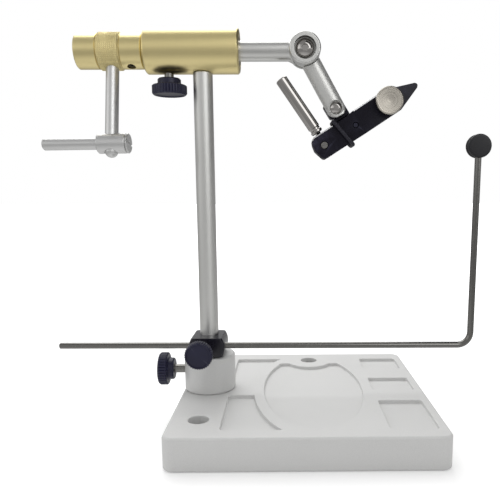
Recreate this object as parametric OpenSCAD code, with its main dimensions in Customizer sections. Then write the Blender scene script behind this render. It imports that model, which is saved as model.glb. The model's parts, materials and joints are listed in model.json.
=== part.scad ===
// Fly tying vise on a square pedestal base, with a bobbin cradle. All lengths in mm.
// Origin: axis of the stem on the underside of the base. X to the right, Y away, Z up.

/* [Base] */
// Width of the base, left to right
base_w = 125; // [110:1:150]
// Depth of the base, front to back
base_d = 125; // [110:1:150]
// Thickness of the base
base_t = 15.6; // [13:0.1:20]
// From the stem axis to the left side of the base
base_left = 13.5; // [13:0.1:16]
// From the stem axis to the front of the base
base_front = 64.1; // [62:0.1:70]
// Radius of the upright corners of the base
base_corner_r = 5; // [3:0.1:6]
// Bevel round the top and bottom of the base
base_edge = 0.9; // [0.3:0.1:1.5]
// Depth of the pockets
pocket_depth = 1.8; // [1:0.1:4]
// Corner radius of the pockets in plan
pocket_corner_r = 1.5; // [0.5:0.1:2]
// Centre of the oval pocket, to the right of the stem axis
oval_x = 54.2; // [53:0.1:56]
// Centre of the oval pocket, behind the stem axis
oval_y = -0.4; // [-3:0.1:3]
// Half the width of the oval pocket
oval_half_w = 25.7; // [22:0.1:27]
// Half the depth of the whole oval
oval_half_d = 54.8; // [45:0.1:56]
// Straight back of the oval pocket, behind the stem axis
oval_back = 41; // [38:0.1:43]
// Land beside the oval pocket
oval_land = 5.3; // [4:0.1:7]
// Land at the front end of the oval, where the front left pocket curves
oval_land_ends = 9.5; // [8:0.1:12]
// Land at the rear end of the oval, where the rear left pocket curves
oval_land_rear = 6; // [5:0.1:9]
// Radius of the notch that keeps the pocket clear of a collar
bite_r = 13.6; // [13.4:0.1:15]
// Left side of the two left pockets
left_pocket_x = 10.7; // [10.5:0.1:12]
// Left side of the three right pockets
right_pocket_x = 85.5; // [84:0.1:88]
// Width of the three right pockets
right_pocket_w = 21.6; // [18:0.1:23]
// Back of the rear pockets, behind the stem axis
back_row_y = 50; // [46:0.1:52]
// Front of the front pockets, before the stem axis
front_row_y = 55.3; // [53:0.1:58]
// Front of the rear left pocket, behind the stem axis
pocket_a_front = 9.2; // [9:0.1:14]
// Back of the front left pocket, before the stem axis
pocket_b_back = 12.5; // [10:0.1:16]
// Front of the rear right pocket, behind the stem axis
pocket_c_front = 30.6; // [28:0.1:34]
// Back of the middle right pocket, behind the stem axis
pocket_d_back = 13.3; // [11:0.1:16]
// Front of the middle right pocket, before the stem axis
pocket_d_front = 6.3; // [5:0.1:9]
// Back of the front right pocket, before the stem axis
pocket_e_back = 21; // [18:0.1:24]
// Radius of the three tapped holes that can hold the collar
post_hole_r = 4.8; // [4.79:0.01:5]
// Depth of those holes
post_hole_depth = 12; // [9:0.1:12.5]
// Spare front hole, before the stem axis
front_hole_y = 43.8; // [38:0.1:48]
// Spare back hole, behind the stem axis
back_hole_y = 47.7; // [46:0.1:50]

/* [Collar] */
// Radius of the stem collar
collar_r = 13.15; // [12.5:0.05:13.2]
// Height of the stem collar
collar_h = 18.9; // [17:0.1:21]
// Part of the collar that the collar stud fills, under the stem
collar_floor = 6; // [4:0.1:7]
// Bevel on the rims of the collar
collar_edge = 0.7; // [0.2:0.1:1]
// Height of the collar screw above the base
collar_screw_z = 10.4; // [9.5:0.1:11]
// Corner radius of the socket in the collar stud
post_socket_r = 2.5; // [1.5:0.1:3]
// Depth of the socket in the collar stud
post_socket_depth = 5; // [2:0.1:6]

/* [Stem] */
// Radius of the stem and of the rotary shaft, a 3/8 inch bar
bar_r = 4.7625; // [4.5:0.0005:4.78]
// Bevel on the ends of the bars
bar_edge = 0.6; // [0.2:0.1:1]
// From the rotary axis down to the flat top of the stem
stem_seat = 9.7; // [9.5:0.05:9.8]
// Radius of the stud that joins stem and housing
stem_stud_r = 3; // [2.5:0.1:3.5]
// Length of that stud in the stem
stem_stud_in_stem = 9; // [6:0.1:14]
// Length of that stud in the housing
stem_stud_in_housing = 3.4; // [2.5:0.1:3.6]

/* [Thumb screws] */
// Radius of the thumb screw studs
stud_r = 2.25; // [1.8:0.05:2.4]
// Radius of a thumb screw knob
knob_disc_r = 8.5; // [8:0.1:9]
// Thickness of the wide part of a knob
knob_disc_t = 4.7; // [4:0.1:5]
// Bevel on the outer rim of a knob
knob_bevel = 1.3; // [0.4:0.1:1.6]
// Bevel on the inner rims of a knob
knob_inner_bevel = 0.5; // [0.2:0.1:1]
// Radius of the narrow part of a knob
knob_hub_r = 5.7; // [5:0.1:6]
// Thickness of the narrow part of a knob
knob_hub_t = 3.1; // [2.5:0.1:4]
// Plastic between the end of a stud and the face of its knob
knob_skin = 1.6; // [1:0.1:2.5]
// Size of the cradle knob, as a share of the other two
cradle_knob_share = 0.8; // [0.7:0.01:1]
// Bare stud between collar and knob
collar_neck = 5.5; // [4.5:0.1:7]
// Bare stud between cradle clamp and knob
cradle_neck = 7.6; // [4.5:0.1:9]
// Bare stud between housing and knob
tension_neck = 2.1; // [1.5:0.1:4]

/* [Cradle] */
// Radius of the cradle clamp drum
clamp_r = 9.1; // [8.5:0.1:9.5]
// Half the height between the two flats of the clamp
clamp_half_h = 4.9; // [4.5:0.1:5.5]
// Front of the clamp, before the stem axis
clamp_front = 11.5; // [11:0.1:13]
// Back of the clamp, behind the stem axis
clamp_back = 6.8; // [6.5:0.1:8]
// Bevel on the rims of the clamp
clamp_edge = 0.8; // [0.3:0.1:1]
// Height of the clamp axis above the base
clamp_z = 24.5; // [24.4:0.1:40]
// Clamp screw, to the left of the stem axis
clamp_screw_left = 1.8; // [0:0.1:3]
// Swing of the cradle about the stem, right end towards the viewer, in degrees
cradle_turn = 0.7; // [0:0.1:3]
// Radius of the cradle rod, a 1/8 inch bar
rod_r = 1.5875; // [1.1:0.0125:1.6]
// Left end of the cradle rod, from the stem axis
rod_left = 76.2; // [70:0.1:85]
// Upright part of the cradle rod, from the stem axis
rod_right = 134.4; // [130:0.1:140]
// Bend radius of the cradle rod
rod_bend_r = 6.5; // [4:0.1:8]
// Bevel on the ends of the cradle rod
rod_end_edge = 0.4; // [0.1:0.1:0.6]
// Height of the thread rest above the base
rest_z = 124; // [118:0.1:130]
// Radius of the thread rest
rest_r = 5.75; // [5:0.05:7]
// Thickness of the thread rest
rest_t = 5.4; // [4.5:0.1:7]
// Depth of the groove round the thread rest
rest_groove = 1.3; // [0.8:0.1:1.8]
// Bevel on the rims of the thread rest
rest_edge = 0.5; // [0.2:0.1:0.8]

/* [Housing] */
// Height of the rotary axis above the base
axis_z = 170.1; // [165:0.1:176]
// Radius of the housing
housing_r = 10.65; // [10.4:0.05:11.5]
// Left end of the housing, from the stem axis
housing_left = 27.4; // [26:0.1:30]
// Right end of the housing, from the stem axis
housing_right = 18.1; // [17:0.1:20]
// Bevel on the ends of the housing
housing_edge = 0.7; // [0.2:0.1:1]
// Outer radius of the shaft bushings
bushing_r = 7.4; // [6.8:0.1:8]
// Length of a shaft bushing
bushing_l = 8; // [6:0.1:8.5]
// Gap round the shaft between the bushings
housing_bore_gap = 0.45; // [0.3:0.05:0.6]
// Tension screw, to the left of the stem axis
tension_left = 16.5; // [16:0.1:17]
// Height of the tension pad
tension_pad_h = 2.4; // [1.5:0.1:3]
// Thickness of the thrust washer
washer_t = 0.6; // [0.4:0.1:1]
// Radius of the thrust washer
washer_r = 7.4; // [6.5:0.1:8]

/* [Hub] */
// Radius of the smooth parts of the hub
hub_r = 8.3; // [8:0.05:8.8]
// Left end of the hub, from the stem axis
hub_left = 60.3; // [58:0.1:63]
// Radius of the knurled band
knurl_r = 8.8; // [8.5:0.05:9.3]
// Left side of the knurled band, from the stem axis
knurl_left = 50; // [49:0.1:51]
// Right side of the knurled band, from the stem axis
knurl_right = 38.3; // [37:0.1:39]
// Bevel on the knurled band
knurl_bevel = 0.9; // [0.4:0.1:1.2]
// Bevel on the ends of the hub
hub_edge = 0.5; // [0.2:0.1:1]
// Depth of the shaft end inside the hub
hub_recess = 0.8; // [0.4:0.1:2]
// Radius of the set screws
grub_r = 2; // [1.4:0.05:2.2]
// Length of the hub set screw
grub_l = 2.2; // [1.8:0.1:2.4]
// Hub set screw, from the stem axis
grub_left = 33.9; // [32.5:0.1:35]
// Turn of the hub set screw towards the front, in degrees
grub_turn = 20; // [0:1:40]
// Corner radius of the sockets in the set screws
grub_socket_r = 1.1; // [0.6:0.05:1.3]
// Depth of the sockets in the set screws
grub_socket_depth = 1.2; // [0.6:0.1:1.4]

/* [Crank] */
// Crank arm, from the stem axis
arm_left = 43.4; // [43.2:0.1:44.2]
// Turn of the crank towards the viewer, in degrees
crank_turn = 12; // [0:0.5:15]
// Radius of the crank arm
arm_r = 3.15; // [2.9:0.05:3.4]
// Height of the crank barrel above the base, with the crank straight down
barrel_z = 124.7; // [121:0.1:129]
// Turn of the barrel on the crank arm, right end towards the viewer, in degrees
barrel_turn = 2; // [0:0.5:8]
// Radius of the crank barrel
barrel_r = 4.8; // [4.5:0.05:5.1]
// Left end of the crank barrel, from the stem axis
barrel_left = 49.9; // [49.2:0.1:52]
// Right end of the crank barrel, from the stem axis
barrel_right = 34.7; // [33:0.1:36]
// Bevel on the ends of the crank barrel
barrel_edge = 0.5; // [0.2:0.1:0.8]
// Thickness of the cap that closes the barrel
barrel_cap_t = 1.2; // [0.8:0.1:2.5]
// Width of the screwdriver slot in the cap
cap_slot_w = 1.1; // [0.8:0.1:1.6]
// Depth of the screwdriver slot in the cap
cap_slot_depth = 0.6; // [0.3:0.1:0.7]
// From the barrel axis to the domed end of the arm
arm_below = 6.9; // [6.5:0.1:8]
// Radius of the crank pin
pin_r = 2.9; // [2.6:0.05:3.1]
// Left end of the crank pin, from the stem axis
pin_left = 78.2; // [74:0.1:83]
// Bevel on the end of the crank pin
pin_edge = 0.7; // [0.2:0.1:1]

/* [Knuckle] */
// Knuckle axis, from the stem axis
knuckle_x = 49.8; // [48:0.1:52]
// Radius of the cheeks of the fork
cheek_r = 7.6; // [7.2:0.05:7.8]
// Front of the fork, before the middle plane
cheek_front = 7.9; // [7.6:0.1:8.4]
// Back of the fork, behind the middle plane
cheek_back = 4.9; // [4.8:0.1:6]
// Depth of the round seat of the knuckle screw in the fork
knuckle_seat = 2.8; // [2.4:0.1:3]
// Radius of that seat
knuckle_seat_r = 5.3; // [5.2:0.05:5.6]
// Where the shaft starts to widen, from the stem axis
fork_start_x = 41.8; // [39.5:0.1:42]
// Half the thickness of the eye of the elbow arm
eye_half_t = 2.3; // [2:0.1:2.4]
// Radius of the eye of the elbow arm
eye_r = 7.1; // [6.6:0.05:7.2]
// Gap on each side of the eye
slot_side_gap = 0.08; // [0.05:0.01:0.1]
// Depth of the slot beyond the round outline of the cheeks
slot_end_gap = 0.1; // [0.05:0.05:0.15]
// Radius of the elbow arm
elbow_r = 4.7; // [4.4:0.05:4.75]
// Length of the elbow arm between its two axes
elbow_l = 31.2; // [29:0.1:34]
// From the middle plane to the seat of the elbow screw head
elbow_seat = 2.7; // [2.5:0.1:3]
// Radius of the round seat of the elbow screw
elbow_seat_r = 3.5; // [3.2:0.05:3.7]
// From the elbow pivot to the square end of the arm
elbow_end = 4.3; // [4:0.1:4.4]
// Radius of the corners of that end
elbow_corner_r = 1.5; // [1.4:0.1:2]
// Slope of the elbow arm below the shaft, in degrees
elbow_down = 60.5; // [50:0.5:70]
// Gap between the round cheeks and the hollow shoulder of the elbow arm
shoulder_gap = 0.15; // [0.1:0.05:0.4]
// Length of the flat at the lower end of the elbow arm
elbow_lap_l = 6.6; // [6:0.1:8]
// Half the height of the flat neck beside the eye
neck_half_h = 4; // [3.6:0.1:4.2]
// Radius of the knuckle screw
knuckle_screw_r = 2.5; // [2:0.1:3]
// Radius of the knuckle screw head
knuckle_head_r = 4.3; // [4:0.05:4.6]
// Height of the knuckle screw head
knuckle_head_h = 2.7; // [2:0.1:3.2]
// Radius of the knuckle washer
knuckle_washer_r = 5; // [4.6:0.05:5.1]
// Thickness of the knuckle washer
knuckle_washer_t = 0.6; // [0.4:0.1:0.9]
// Radius of the elbow screw
elbow_screw_r = 1.75; // [1.5:0.05:2]
// Radius of the elbow screw head
elbow_head_r = 3; // [2.5:0.05:3.1]
// Height of the elbow screw head
elbow_head_h = 1.9; // [1.5:0.1:2.4]
// Corner radius of a socket as a share of the head radius
head_socket_share = 0.42; // [0.3:0.01:0.5]
// Depth of a socket as a share of the head height
head_socket_depth_share = 0.55; // [0.3:0.01:0.6]

/* [Jaws] */
// Slope of the jaws above the horizontal, in degrees
jaw_up = 32; // [25:0.5:40]
// From the elbow screw down to the middle line of the jaws
jaw_drop = 12.2; // [11.8:0.1:13]
// Half the height of the jaws
jaw_half_h = 6; // [5.7:0.1:6.1]
// Tip of the jaws, forward of the elbow screw
jaw_tip = 40; // [36:0.1:42]
// Rear of the jaws, behind the elbow screw
jaw_rear = 19.8; // [19.6:0.1:20.5]
// Outer face of a jaw, from the middle plane
jaw_outer = 4.3; // [4:0.05:4.4]
// Where the outer faces start to taper, forward of the elbow screw
jaw_taper_from = 25.7; // [25:0.1:29]
// Thickness of one jaw at its tip
jaw_tip_half_t = 1; // [0.6:0.05:1.4]
// Half the gap between the closed jaws
jaw_meet = 0.05; // [0.02:0.01:0.08]
// Half the extra gap between the jaws at the rear
jaw_part = 1.15; // [1.1:0.05:1.4]
// Where the jaws start to part, forward of the elbow screw
jaw_part_from = 23; // [22.6:0.1:24]
// Half the width of the lug on the rear jaw
lug_half_w = 4.8; // [4.5:0.1:4.9]
// From the elbow pivot up to the top of the lug
lug_up = 4.5; // [4:0.1:4.6]
// From the elbow pivot down to the step that lets the ring pass
lug_step = 3.5; // [3.2:0.1:3.7]
// Radius of the corners of the lug
lug_corner_r = 1.2; // [1.1:0.1:1.6]
// From the elbow pivot to the rear side of the lug, where the ring passes
lug_rear = 3.4; // [3.2:0.1:3.6]
// Back face of the lug, from the middle plane
lug_back = 4.6; // [4.4:0.1:5]
// Adjusting screw, forward of the elbow screw
adjust_x = 23; // [22.4:0.1:24]
// Adjusting screw, below the elbow screw
adjust_z = 11.1; // [10.8:0.1:12]
// Radius of the adjusting screw
adjust_screw_r = 1.6; // [1.2:0.05:1.8]
// Radius of the adjusting knob
adjust_knob_r = 6.65; // [6:0.05:7]
// Thickness of the adjusting knob
adjust_knob_t = 3.8; // [3:0.1:5]
// Bevel on the adjusting knob
adjust_knob_bevel = 0.7; // [0.3:0.1:1]
// Radius of the boss under the adjusting knob
adjust_boss_r = 2.8; // [2.2:0.05:3]
// Height of the boss under the adjusting knob
adjust_boss_h = 0.6; // [0.4:0.05:0.8]
// Gap between that boss and the front jaw
adjust_boss_gap = 0.16; // [0.12:0.01:0.2]
// Gap round screw and pins in the front jaw, so that it can rock
rock_gap = 0.35; // [0.3:0.05:0.6]
// Jaw dowel, forward of the elbow screw
dowel_x = 3.7; // [2:0.1:5]
// Radius of the jaw dowel
dowel_r = 1.1; // [0.8:0.05:1.4]
// Cam cross pin, behind the elbow screw
cross_x = 14.35; // [14:0.05:14.6]
// Radius of the cam cross pin
cross_r = 1.6; // [1.3:0.05:1.7]
// Radius of the cam
cam_r = 5.2; // [5:0.05:5.2]
// Back face of the cam, from the middle plane
cam_back = 1.85; // [1.7:0.05:1.9]
// Middle of the sloping front of the cam, before the middle plane
cam_mid = 0.6; // [0.5:0.05:0.65]
// Slope of the front of the cam, in degrees
cam_slope = 13.1; // [12.8:0.1:13.2]
// Direction of the thick side of the cam above the jaw line, in degrees
cam_thick_at = 50; // [48:1:52]
// Floor of the cam recess in the rear jaw, from the middle plane
cam_seat_back = 1.92; // [1.9:0.01:2]
// Floor of the cam recess in the front jaw, from the middle plane
cam_seat_front = 3.3; // [3.3:0.05:3.4]
// Cam follower, forward of the cross pin
follower_out = 4; // [3.8:0.1:4.1]
// Radius of the round end of the cam follower
follower_r = 1; // [0.8:0.05:1.05]
// Gap between follower and cam
follower_gap = 0.08; // [0.06:0.01:0.1]
// Rubber ring, behind the elbow screw
ring_x = 3.6; // [3.5:0.1:3.9]
// Slant of the ring, in degrees
ring_slant = 10; // [8:0.5:10]
// Radius of the section of the rubber ring
ring_r = 0.95; // [0.8:0.05:1]
// Gap between the rubber ring and the jaws
ring_gap = 0.4; // [0.3:0.05:0.4]
// Radius of the cam lever
lever_r = 3; // [2.6:0.05:3.1]
// Top of the cam lever, from the cross pin
lever_top = 38.5; // [35:0.1:42]
// Foot of the thick part of the lever, from the cross pin
lever_foot = 6.9; // [6.8:0.1:8]
// Length of the plain collar at the foot of the lever
lever_collar_l = 1.7; // [1:0.1:3]
// Width of the groove above the collar
lever_groove_w = 1.1; // [0.5:0.1:2]
// Depth of the groove above the collar
lever_groove_depth = 0.4; // [0.1:0.05:0.6]
// From the lever's axis to the cross pin, towards the jaw tips
lever_off = 1; // [0:0.1:1.2]
// Radius of the neck of the cam lever
lever_neck_r = 1.4; // [1.2:0.05:1.5]
// Radius of the thread of the lever in the cam
lever_thread_r = 1; // [0.8:0.05:1.1]
// Inner end of that thread, from the cross pin
lever_thread_in = 2.6; // [2.5:0.1:3]
// Lever, behind the middle plane
lever_y = 0.3; // [0.25:0.05:0.35]
// Lean of the lever to the rear, in degrees
lever_lean = 3; // [0:0.5:4]
// Bevel on the ends of the lever
lever_edge = 0.5; // [0.2:0.1:0.8]

/* [Fits] */
// Gap round what turns or slides in a hole
run_gap = 0.04; // [0.02:0.005:0.08]
// Gap round what is fixed in a hole
fixed_gap = 0.03; // [0.02:0.005:0.05]
// Gap between two faces that meet
seat_gap = 0.05; // [0.03:0.005:0.08]

/* [Hidden] */
$fn = 64;
over = base_t / 10; // how far a cut runs past the face it goes through
axis_h = base_t + axis_z;
crank_l = axis_z - barrel_z; // from the shaft to the crank barrel
collar_top = base_t + collar_h;
stem_from = base_t + collar_floor + seat_gap;
stem_to = axis_h - stem_seat;
clamp_h = base_t + clamp_z;
rest_up = rest_z - clamp_z; // from the clamp axis to the thread rest
rod_y = -(bar_r + rod_r + seat_gap);
elbow_x = knuckle_x + elbow_l * cos(elbow_down);
elbow_h = axis_h - elbow_l * sin(elbow_down);
hub_right = housing_left + washer_t + 2 * seat_gap;
shaft_left = hub_left - hub_recess;
oval_steps = 72;
// side view of the jaws: shares of their length from the rear, and of their half height
jaw_shares = [
  [1, 0.06], [0.997, 0.22], [0.985, 0.335], [0.733, 1.145], [0.425, 1.1], [0.36, 1], [0.047, 1],
  [0.032, 0.9], [0.018, 0.74], [0.008, 0.47], [0, 0], [0.009, -0.35], [0.025, -0.86],
  [0.042, -1], [0.45, -0.99], [0.772, -0.93], [0.985, -0.11]
];
cam_face_y = -cam_mid - follower_out * tan(cam_slope) * cos(cam_thick_at);
follower_y = cam_face_y - (follower_r + follower_gap) / cos(cam_slope);
ring_half_w = jaw_outer + ring_gap + ring_r;
ring_half_h = jaw_half_h + ring_gap + ring_r;
// line from the shaft that touches the round cheeks: its length and its angle
flare_far = norm([knuckle_x - fork_start_x, bar_r]);
flare_l = sqrt(pow(flare_far, 2) - pow(cheek_r, 2));
flare = asin(cheek_r / flare_far) - asin(bar_r / flare_far);

// a bar standing on the origin, with a bevel at each end
module bar(r, l, low, high) {
  rotate_extrude() polygon([[0, 0], [r - low, 0], [r, low], [r, l - high], [r - high, l], [0, l]]);
}

// the same bar lying along X or along Y, from its lower end
module bar_x(x, r, l, low, high) {
  translate([x, 0, 0]) rotate([0, 90, 0]) bar(r, l, low, high);
}

module bar_y(y, r, l, low, high) {
  translate([0, y, 0]) rotate([-90, 0, 0]) bar(r, l, low, high);
}

// plain cutters along X, Y and Z
module cut_x(x0, x1, r) {
  translate([x0, 0, 0]) rotate([0, 90, 0]) cylinder(r = r, h = x1 - x0);
}

module cut_y(y0, y1, r) {
  translate([0, y0, 0]) rotate([-90, 0, 0]) cylinder(r = r, h = y1 - y0);
}

module cut_z(z0, z1, r) {
  translate([0, 0, z0]) cylinder(r = r, h = z1 - z0);
}

module block(x0, x1, y0, y1, z0, z1) {
  translate([x0, y0, z0]) cube([x1 - x0, y1 - y0, z1 - z0]);
}

// six-sided socket that opens upwards at the height given
module socket(z, r, depth) {
  translate([0, 0, z - depth]) cylinder(r = r, h = depth + over, $fn = 6);
}

// screw head with a domed top, standing on the origin
module dome_head(r, h) {
  dome_r = (pow(r, 2) + pow(h * 0.75, 2)) / (h * 1.5);
  difference() {
    intersection() {
      cylinder(r = r, h = h);
      translate([0, 0, h - dome_r]) sphere(r = dome_r);
    }
    socket(h, r * head_socket_share, h * head_socket_depth_share);
  }
}

// knob of the three thumb screws, seat on the origin and face upwards
module thumb_knob(share = 1) {
  disc_to = knob_hub_t + knob_disc_t;
  e = knob_inner_bevel;
  r_hub = knob_hub_r * share;
  r = knob_disc_r * share;
  color([0.1, 0.12, 0.16]) difference() {
    rotate_extrude() polygon([
      [0, 0], [r_hub - e, 0], [r_hub, e], [r_hub, knob_hub_t], [r - e, knob_hub_t],
      [r, knob_hub_t + e], [r, disc_to - knob_bevel], [r - knob_bevel, disc_to], [0, disc_to]
    ]);
    cut_z(-over, disc_to - knob_skin, stud_r + fixed_gap);
  }
}

module thumb_stud(l) {
  color([0.6, 0.6, 0.62]) bar(stud_r, l, bar_edge, bar_edge);
}

function stud_length(inside, neck) = inside + neck + knob_hub_t + knob_disc_t - knob_skin - seat_gap;

// frames of the three thumb screws: Z runs from the screw out to the knob
module at_collar_screw(out) {
  translate([-out, 0, base_t + collar_screw_z]) rotate([0, -90, 0]) children();
}

// frame of the cradle clamp, swung a little about the stem
module at_clamp() {
  translate([0, 0, clamp_h]) rotate([0, 0, -cradle_turn]) children();
}

module at_cradle_screw(out) {
  at_clamp() translate([-clamp_screw_left, -out, 0]) rotate([90, 0, 0]) children();
}

module at_tension_screw(out) {
  translate([-tension_left, 0, axis_h - out]) rotate([180, 0, 0]) children();
}

module at_axis() {
  translate([0, 0, axis_h]) children();
}

// frame of the hub set screw, Z away from the shaft
module at_grub() {
  translate([-grub_left, 0, 0]) rotate([180 - grub_turn, 0, 0]) children();
}

// frame of the crank, which hangs turned a little towards the viewer
module at_crank() {
  at_axis() rotate([-crank_turn, 0, 0]) children();
}

// frame of the barrel, turned a little on the crank arm
module at_barrel() {
  at_crank() translate([-arm_left, 0, -crank_l]) rotate([0, 0, -barrel_turn]) {
    translate([arm_left, 0, 0]) children();
  }
}

module at_knuckle() {
  translate([knuckle_x, 0, axis_h]) children();
}

module at_elbow_arm() {
  at_knuckle() rotate([0, elbow_down, 0]) children();
}

// frame of the jaws: origin at the elbow screw, X towards the tip
module at_jaws() {
  translate([elbow_x, 0, elbow_h]) rotate([0, -jaw_up, 0]) children();
}

module at_adjust() {
  at_jaws() translate([adjust_x, 0, -adjust_z]) children();
}

module at_cross() {
  at_jaws() translate([-cross_x, 0, -jaw_drop]) children();
}

// rectangle with round corners
module round_box(x0, x1, y0, y1, r) {
  translate([x0 + r, y0]) square([x1 - x0 - 2 * r, y1 - y0]);
  translate([x0, y0 + r]) square([x1 - x0, y1 - y0 - 2 * r]);
  for (x = [x0 + r, x1 - r], y = [y0 + r, y1 - r]) {
    translate([x, y]) circle(r = r);
  }
}

// the same shape as a plate along Y, in the plane of X and Z
module round_plate(x0, x1, z0, z1, r, y0, y1) {
  translate([0, y1, 0]) rotate([90, 0, 0]) linear_extrude(height = y1 - y0) round_box(x0, x1, z0, z1, r);
}

module oval(a, b) {
  turn = 360 / oval_steps;
  translate([oval_x, oval_y]) polygon([
    for (i = [0:oval_steps - 1]) [a * cos(turn * i), b * sin(turn * i)]
  ]);
}

module oval_pocket() {
  difference() {
    intersection() {
      oval(oval_half_w, oval_half_d);
      translate([0, -base_front]) square([base_w, base_front + oval_back]);
    }
    translate([oval_x, back_hole_y]) circle(r = bite_r);
  }
}

module side_pockets() {
  right_to = right_pocket_x + right_pocket_w;
  r = pocket_corner_r;
  difference() {
    round_box(left_pocket_x, oval_x, pocket_a_front, back_row_y, r);
    oval(oval_half_w + oval_land, oval_half_d + oval_land_rear);
  }
  difference() {
    round_box(left_pocket_x, oval_x, -front_row_y, -pocket_b_back, r);
    oval(oval_half_w + oval_land, oval_half_d + oval_land_ends);
  }
  round_box(right_pocket_x, right_to, pocket_c_front, back_row_y, r);
  round_box(right_pocket_x, right_to, -pocket_d_front, pocket_d_back, r);
  round_box(right_pocket_x, right_to, -front_row_y, -pocket_e_back, r);
}

// upright outline of the base with bevels, for a side of the length given
module slab_side(l) {
  e = base_edge;
  polygon([
    [e, 0], [l - e, 0], [l, e], [l, base_t - e],
    [l - e, base_t], [e, base_t], [0, base_t - e], [0, e]
  ]);
}

module slab() {
  r = base_corner_r;
  translate([0, base_d - r, 0]) rotate([90, 0, 0]) {
    linear_extrude(height = base_d - 2 * r) slab_side(base_w);
  }
  translate([r, 0, 0]) rotate([90, 0, 90]) {
    linear_extrude(height = base_w - 2 * r) slab_side(base_d);
  }
  for (x = [r, base_w - r], y = [r, base_d - r]) {
    translate([x, y, 0]) bar(r, base_t, base_edge, base_edge);
  }
}

module base() {
  color([0.72, 0.72, 0.7]) difference() {
    translate([-base_left, -base_front, 0]) slab();
    translate([0, 0, base_t - pocket_depth]) linear_extrude(height = pocket_depth + over) {
      oval_pocket();
      side_pockets();
    }
    for (p = [[0, 0], [0, -front_hole_y], [oval_x, back_hole_y]]) {
      translate([p[0], p[1], 0]) cut_z(base_t - post_hole_depth, base_t + over, post_hole_r);
    }
  }
}

module stem_collar() {
  color([0.7, 0.7, 0.7]) difference() {
    translate([0, 0, base_t]) bar(collar_r, collar_h, collar_edge, collar_edge);
    cut_z(base_t - over, collar_top + over, bar_r + run_gap);
    at_collar_screw(0) cut_z(0, collar_r + over, stud_r + run_gap);
  }
}

// tapped stud that holds the collar on the base
module post_stud() {
  low = base_t - post_hole_depth + seat_gap;
  high = base_t + collar_floor;
  color([0.3, 0.3, 0.32]) difference() {
    translate([0, 0, low]) bar(bar_r, high - low, bar_edge, bar_edge);
    socket(high, post_socket_r, post_socket_depth);
  }
}

module collar_stud() {
  tip = bar_r + seat_gap;
  at_collar_screw(tip) thumb_stud(stud_length(collar_r - tip, collar_neck));
}

module collar_knob() {
  at_collar_screw(collar_r + collar_neck) thumb_knob();
}

module stem() {
  color([0.78, 0.78, 0.78]) difference() {
    translate([0, 0, stem_from]) bar(bar_r, stem_to - stem_from, bar_edge, bar_edge);
    cut_z(stem_to - stem_stud_in_stem, stem_to + over, stem_stud_r + fixed_gap);
  }
}

module stem_stud() {
  l = stem_stud_in_stem + stem_stud_in_housing - 2 * seat_gap;
  low = stem_to - stem_stud_in_stem + seat_gap;
  color([0.6, 0.6, 0.62]) translate([0, 0, low]) bar(stem_stud_r, l, rod_end_edge, rod_end_edge);
}

module cradle_clamp() {
  wide = 2 * clamp_r;
  color([0.12, 0.13, 0.16]) difference() {
    at_clamp() intersection() {
      bar_y(-clamp_front, clamp_r, clamp_front + clamp_back, clamp_edge, clamp_edge);
      block(-wide, wide, -wide, wide, -clamp_half_h, clamp_half_h);
    }
    cut_z(clamp_h - wide, clamp_h + wide, bar_r + run_gap);
    at_clamp() translate([0, rod_y, 0]) cut_x(-wide, wide, rod_r + run_gap);
    at_cradle_screw(-rod_y + rod_r) cut_z(0, clamp_front, stud_r + run_gap);
  }
}

module cradle_stud() {
  tip = rod_r + seat_gap - rod_y;
  at_cradle_screw(tip) thumb_stud(stud_length(clamp_front - tip, cradle_neck));
}

module cradle_knob() {
  at_cradle_screw(clamp_front + cradle_neck) thumb_knob(cradle_knob_share);
}

module cradle_rod() {
  straight = rod_left + rod_right - rod_bend_r;
  upright = rest_up - rod_bend_r;
  color([0.75, 0.75, 0.75]) at_clamp() translate([0, rod_y, 0]) {
    bar_x(-rod_left, rod_r, straight, rod_end_edge, 0);
    translate([rod_right - rod_bend_r, 0, rod_bend_r]) rotate([90, 0, 0]) rotate([0, 0, -90]) {
      rotate_extrude(angle = 90) translate([rod_bend_r, 0]) circle(r = rod_r);
    }
    translate([rod_right, 0, rod_bend_r]) bar(rod_r, upright, 0, rod_end_edge);
  }
}

module thread_rest() {
  t = rest_t;
  waist = rest_r - rest_groove;
  color([0.1, 0.1, 0.11]) at_clamp() translate([rod_right, rod_y - t / 2, rest_up]) difference() {
    rotate([-90, 0, 0]) rotate_extrude() polygon([
      [0, 0], [rest_r - rest_edge, 0], [rest_r, rest_edge], [rest_r, t * 0.2], [waist, t * 0.42],
      [waist, t * 0.58], [rest_r, t * 0.8], [rest_r, t - rest_edge], [rest_r - rest_edge, t], [0, t]
    ]);
    translate([0, t / 2, 0]) cut_z(-2 * rest_r, seat_gap, rod_r + fixed_gap);
  }
}

module housing() {
  l = housing_left + housing_right;
  sleeve_l = bushing_l + seat_gap;
  color([0.8, 0.68, 0.4]) difference() {
    at_axis() bar_x(-housing_left, housing_r, l, housing_edge, housing_edge);
    at_axis() cut_x(-housing_left - over, housing_right + over, bar_r + housing_bore_gap);
    at_axis() cut_x(-housing_left - over, sleeve_l - housing_left, bushing_r + fixed_gap);
    at_axis() cut_x(housing_right - sleeve_l, housing_right + over, bushing_r + fixed_gap);
    cut_z(axis_h - 2 * housing_r, stem_to + seat_gap, bar_r + fixed_gap);
    cut_z(stem_to, stem_to + stem_stud_in_housing, stem_stud_r + fixed_gap);
    at_tension_screw(0) cut_z(0, 2 * housing_r, stud_r + run_gap);
  }
}

module shaft_bushings() {
  color([0.75, 0.6, 0.35]) at_axis() for (x = [-housing_left, housing_right - bushing_l]) {
    difference() {
      bar_x(x, bushing_r, bushing_l, rod_end_edge, rod_end_edge);
      cut_x(x - over, x + bushing_l + over, bar_r + run_gap);
    }
  }
}

module tension_pad() {
  color([0.9, 0.9, 0.86]) at_tension_screw(bar_r + seat_gap) bar(stud_r, tension_pad_h, 0, 0);
}

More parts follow.
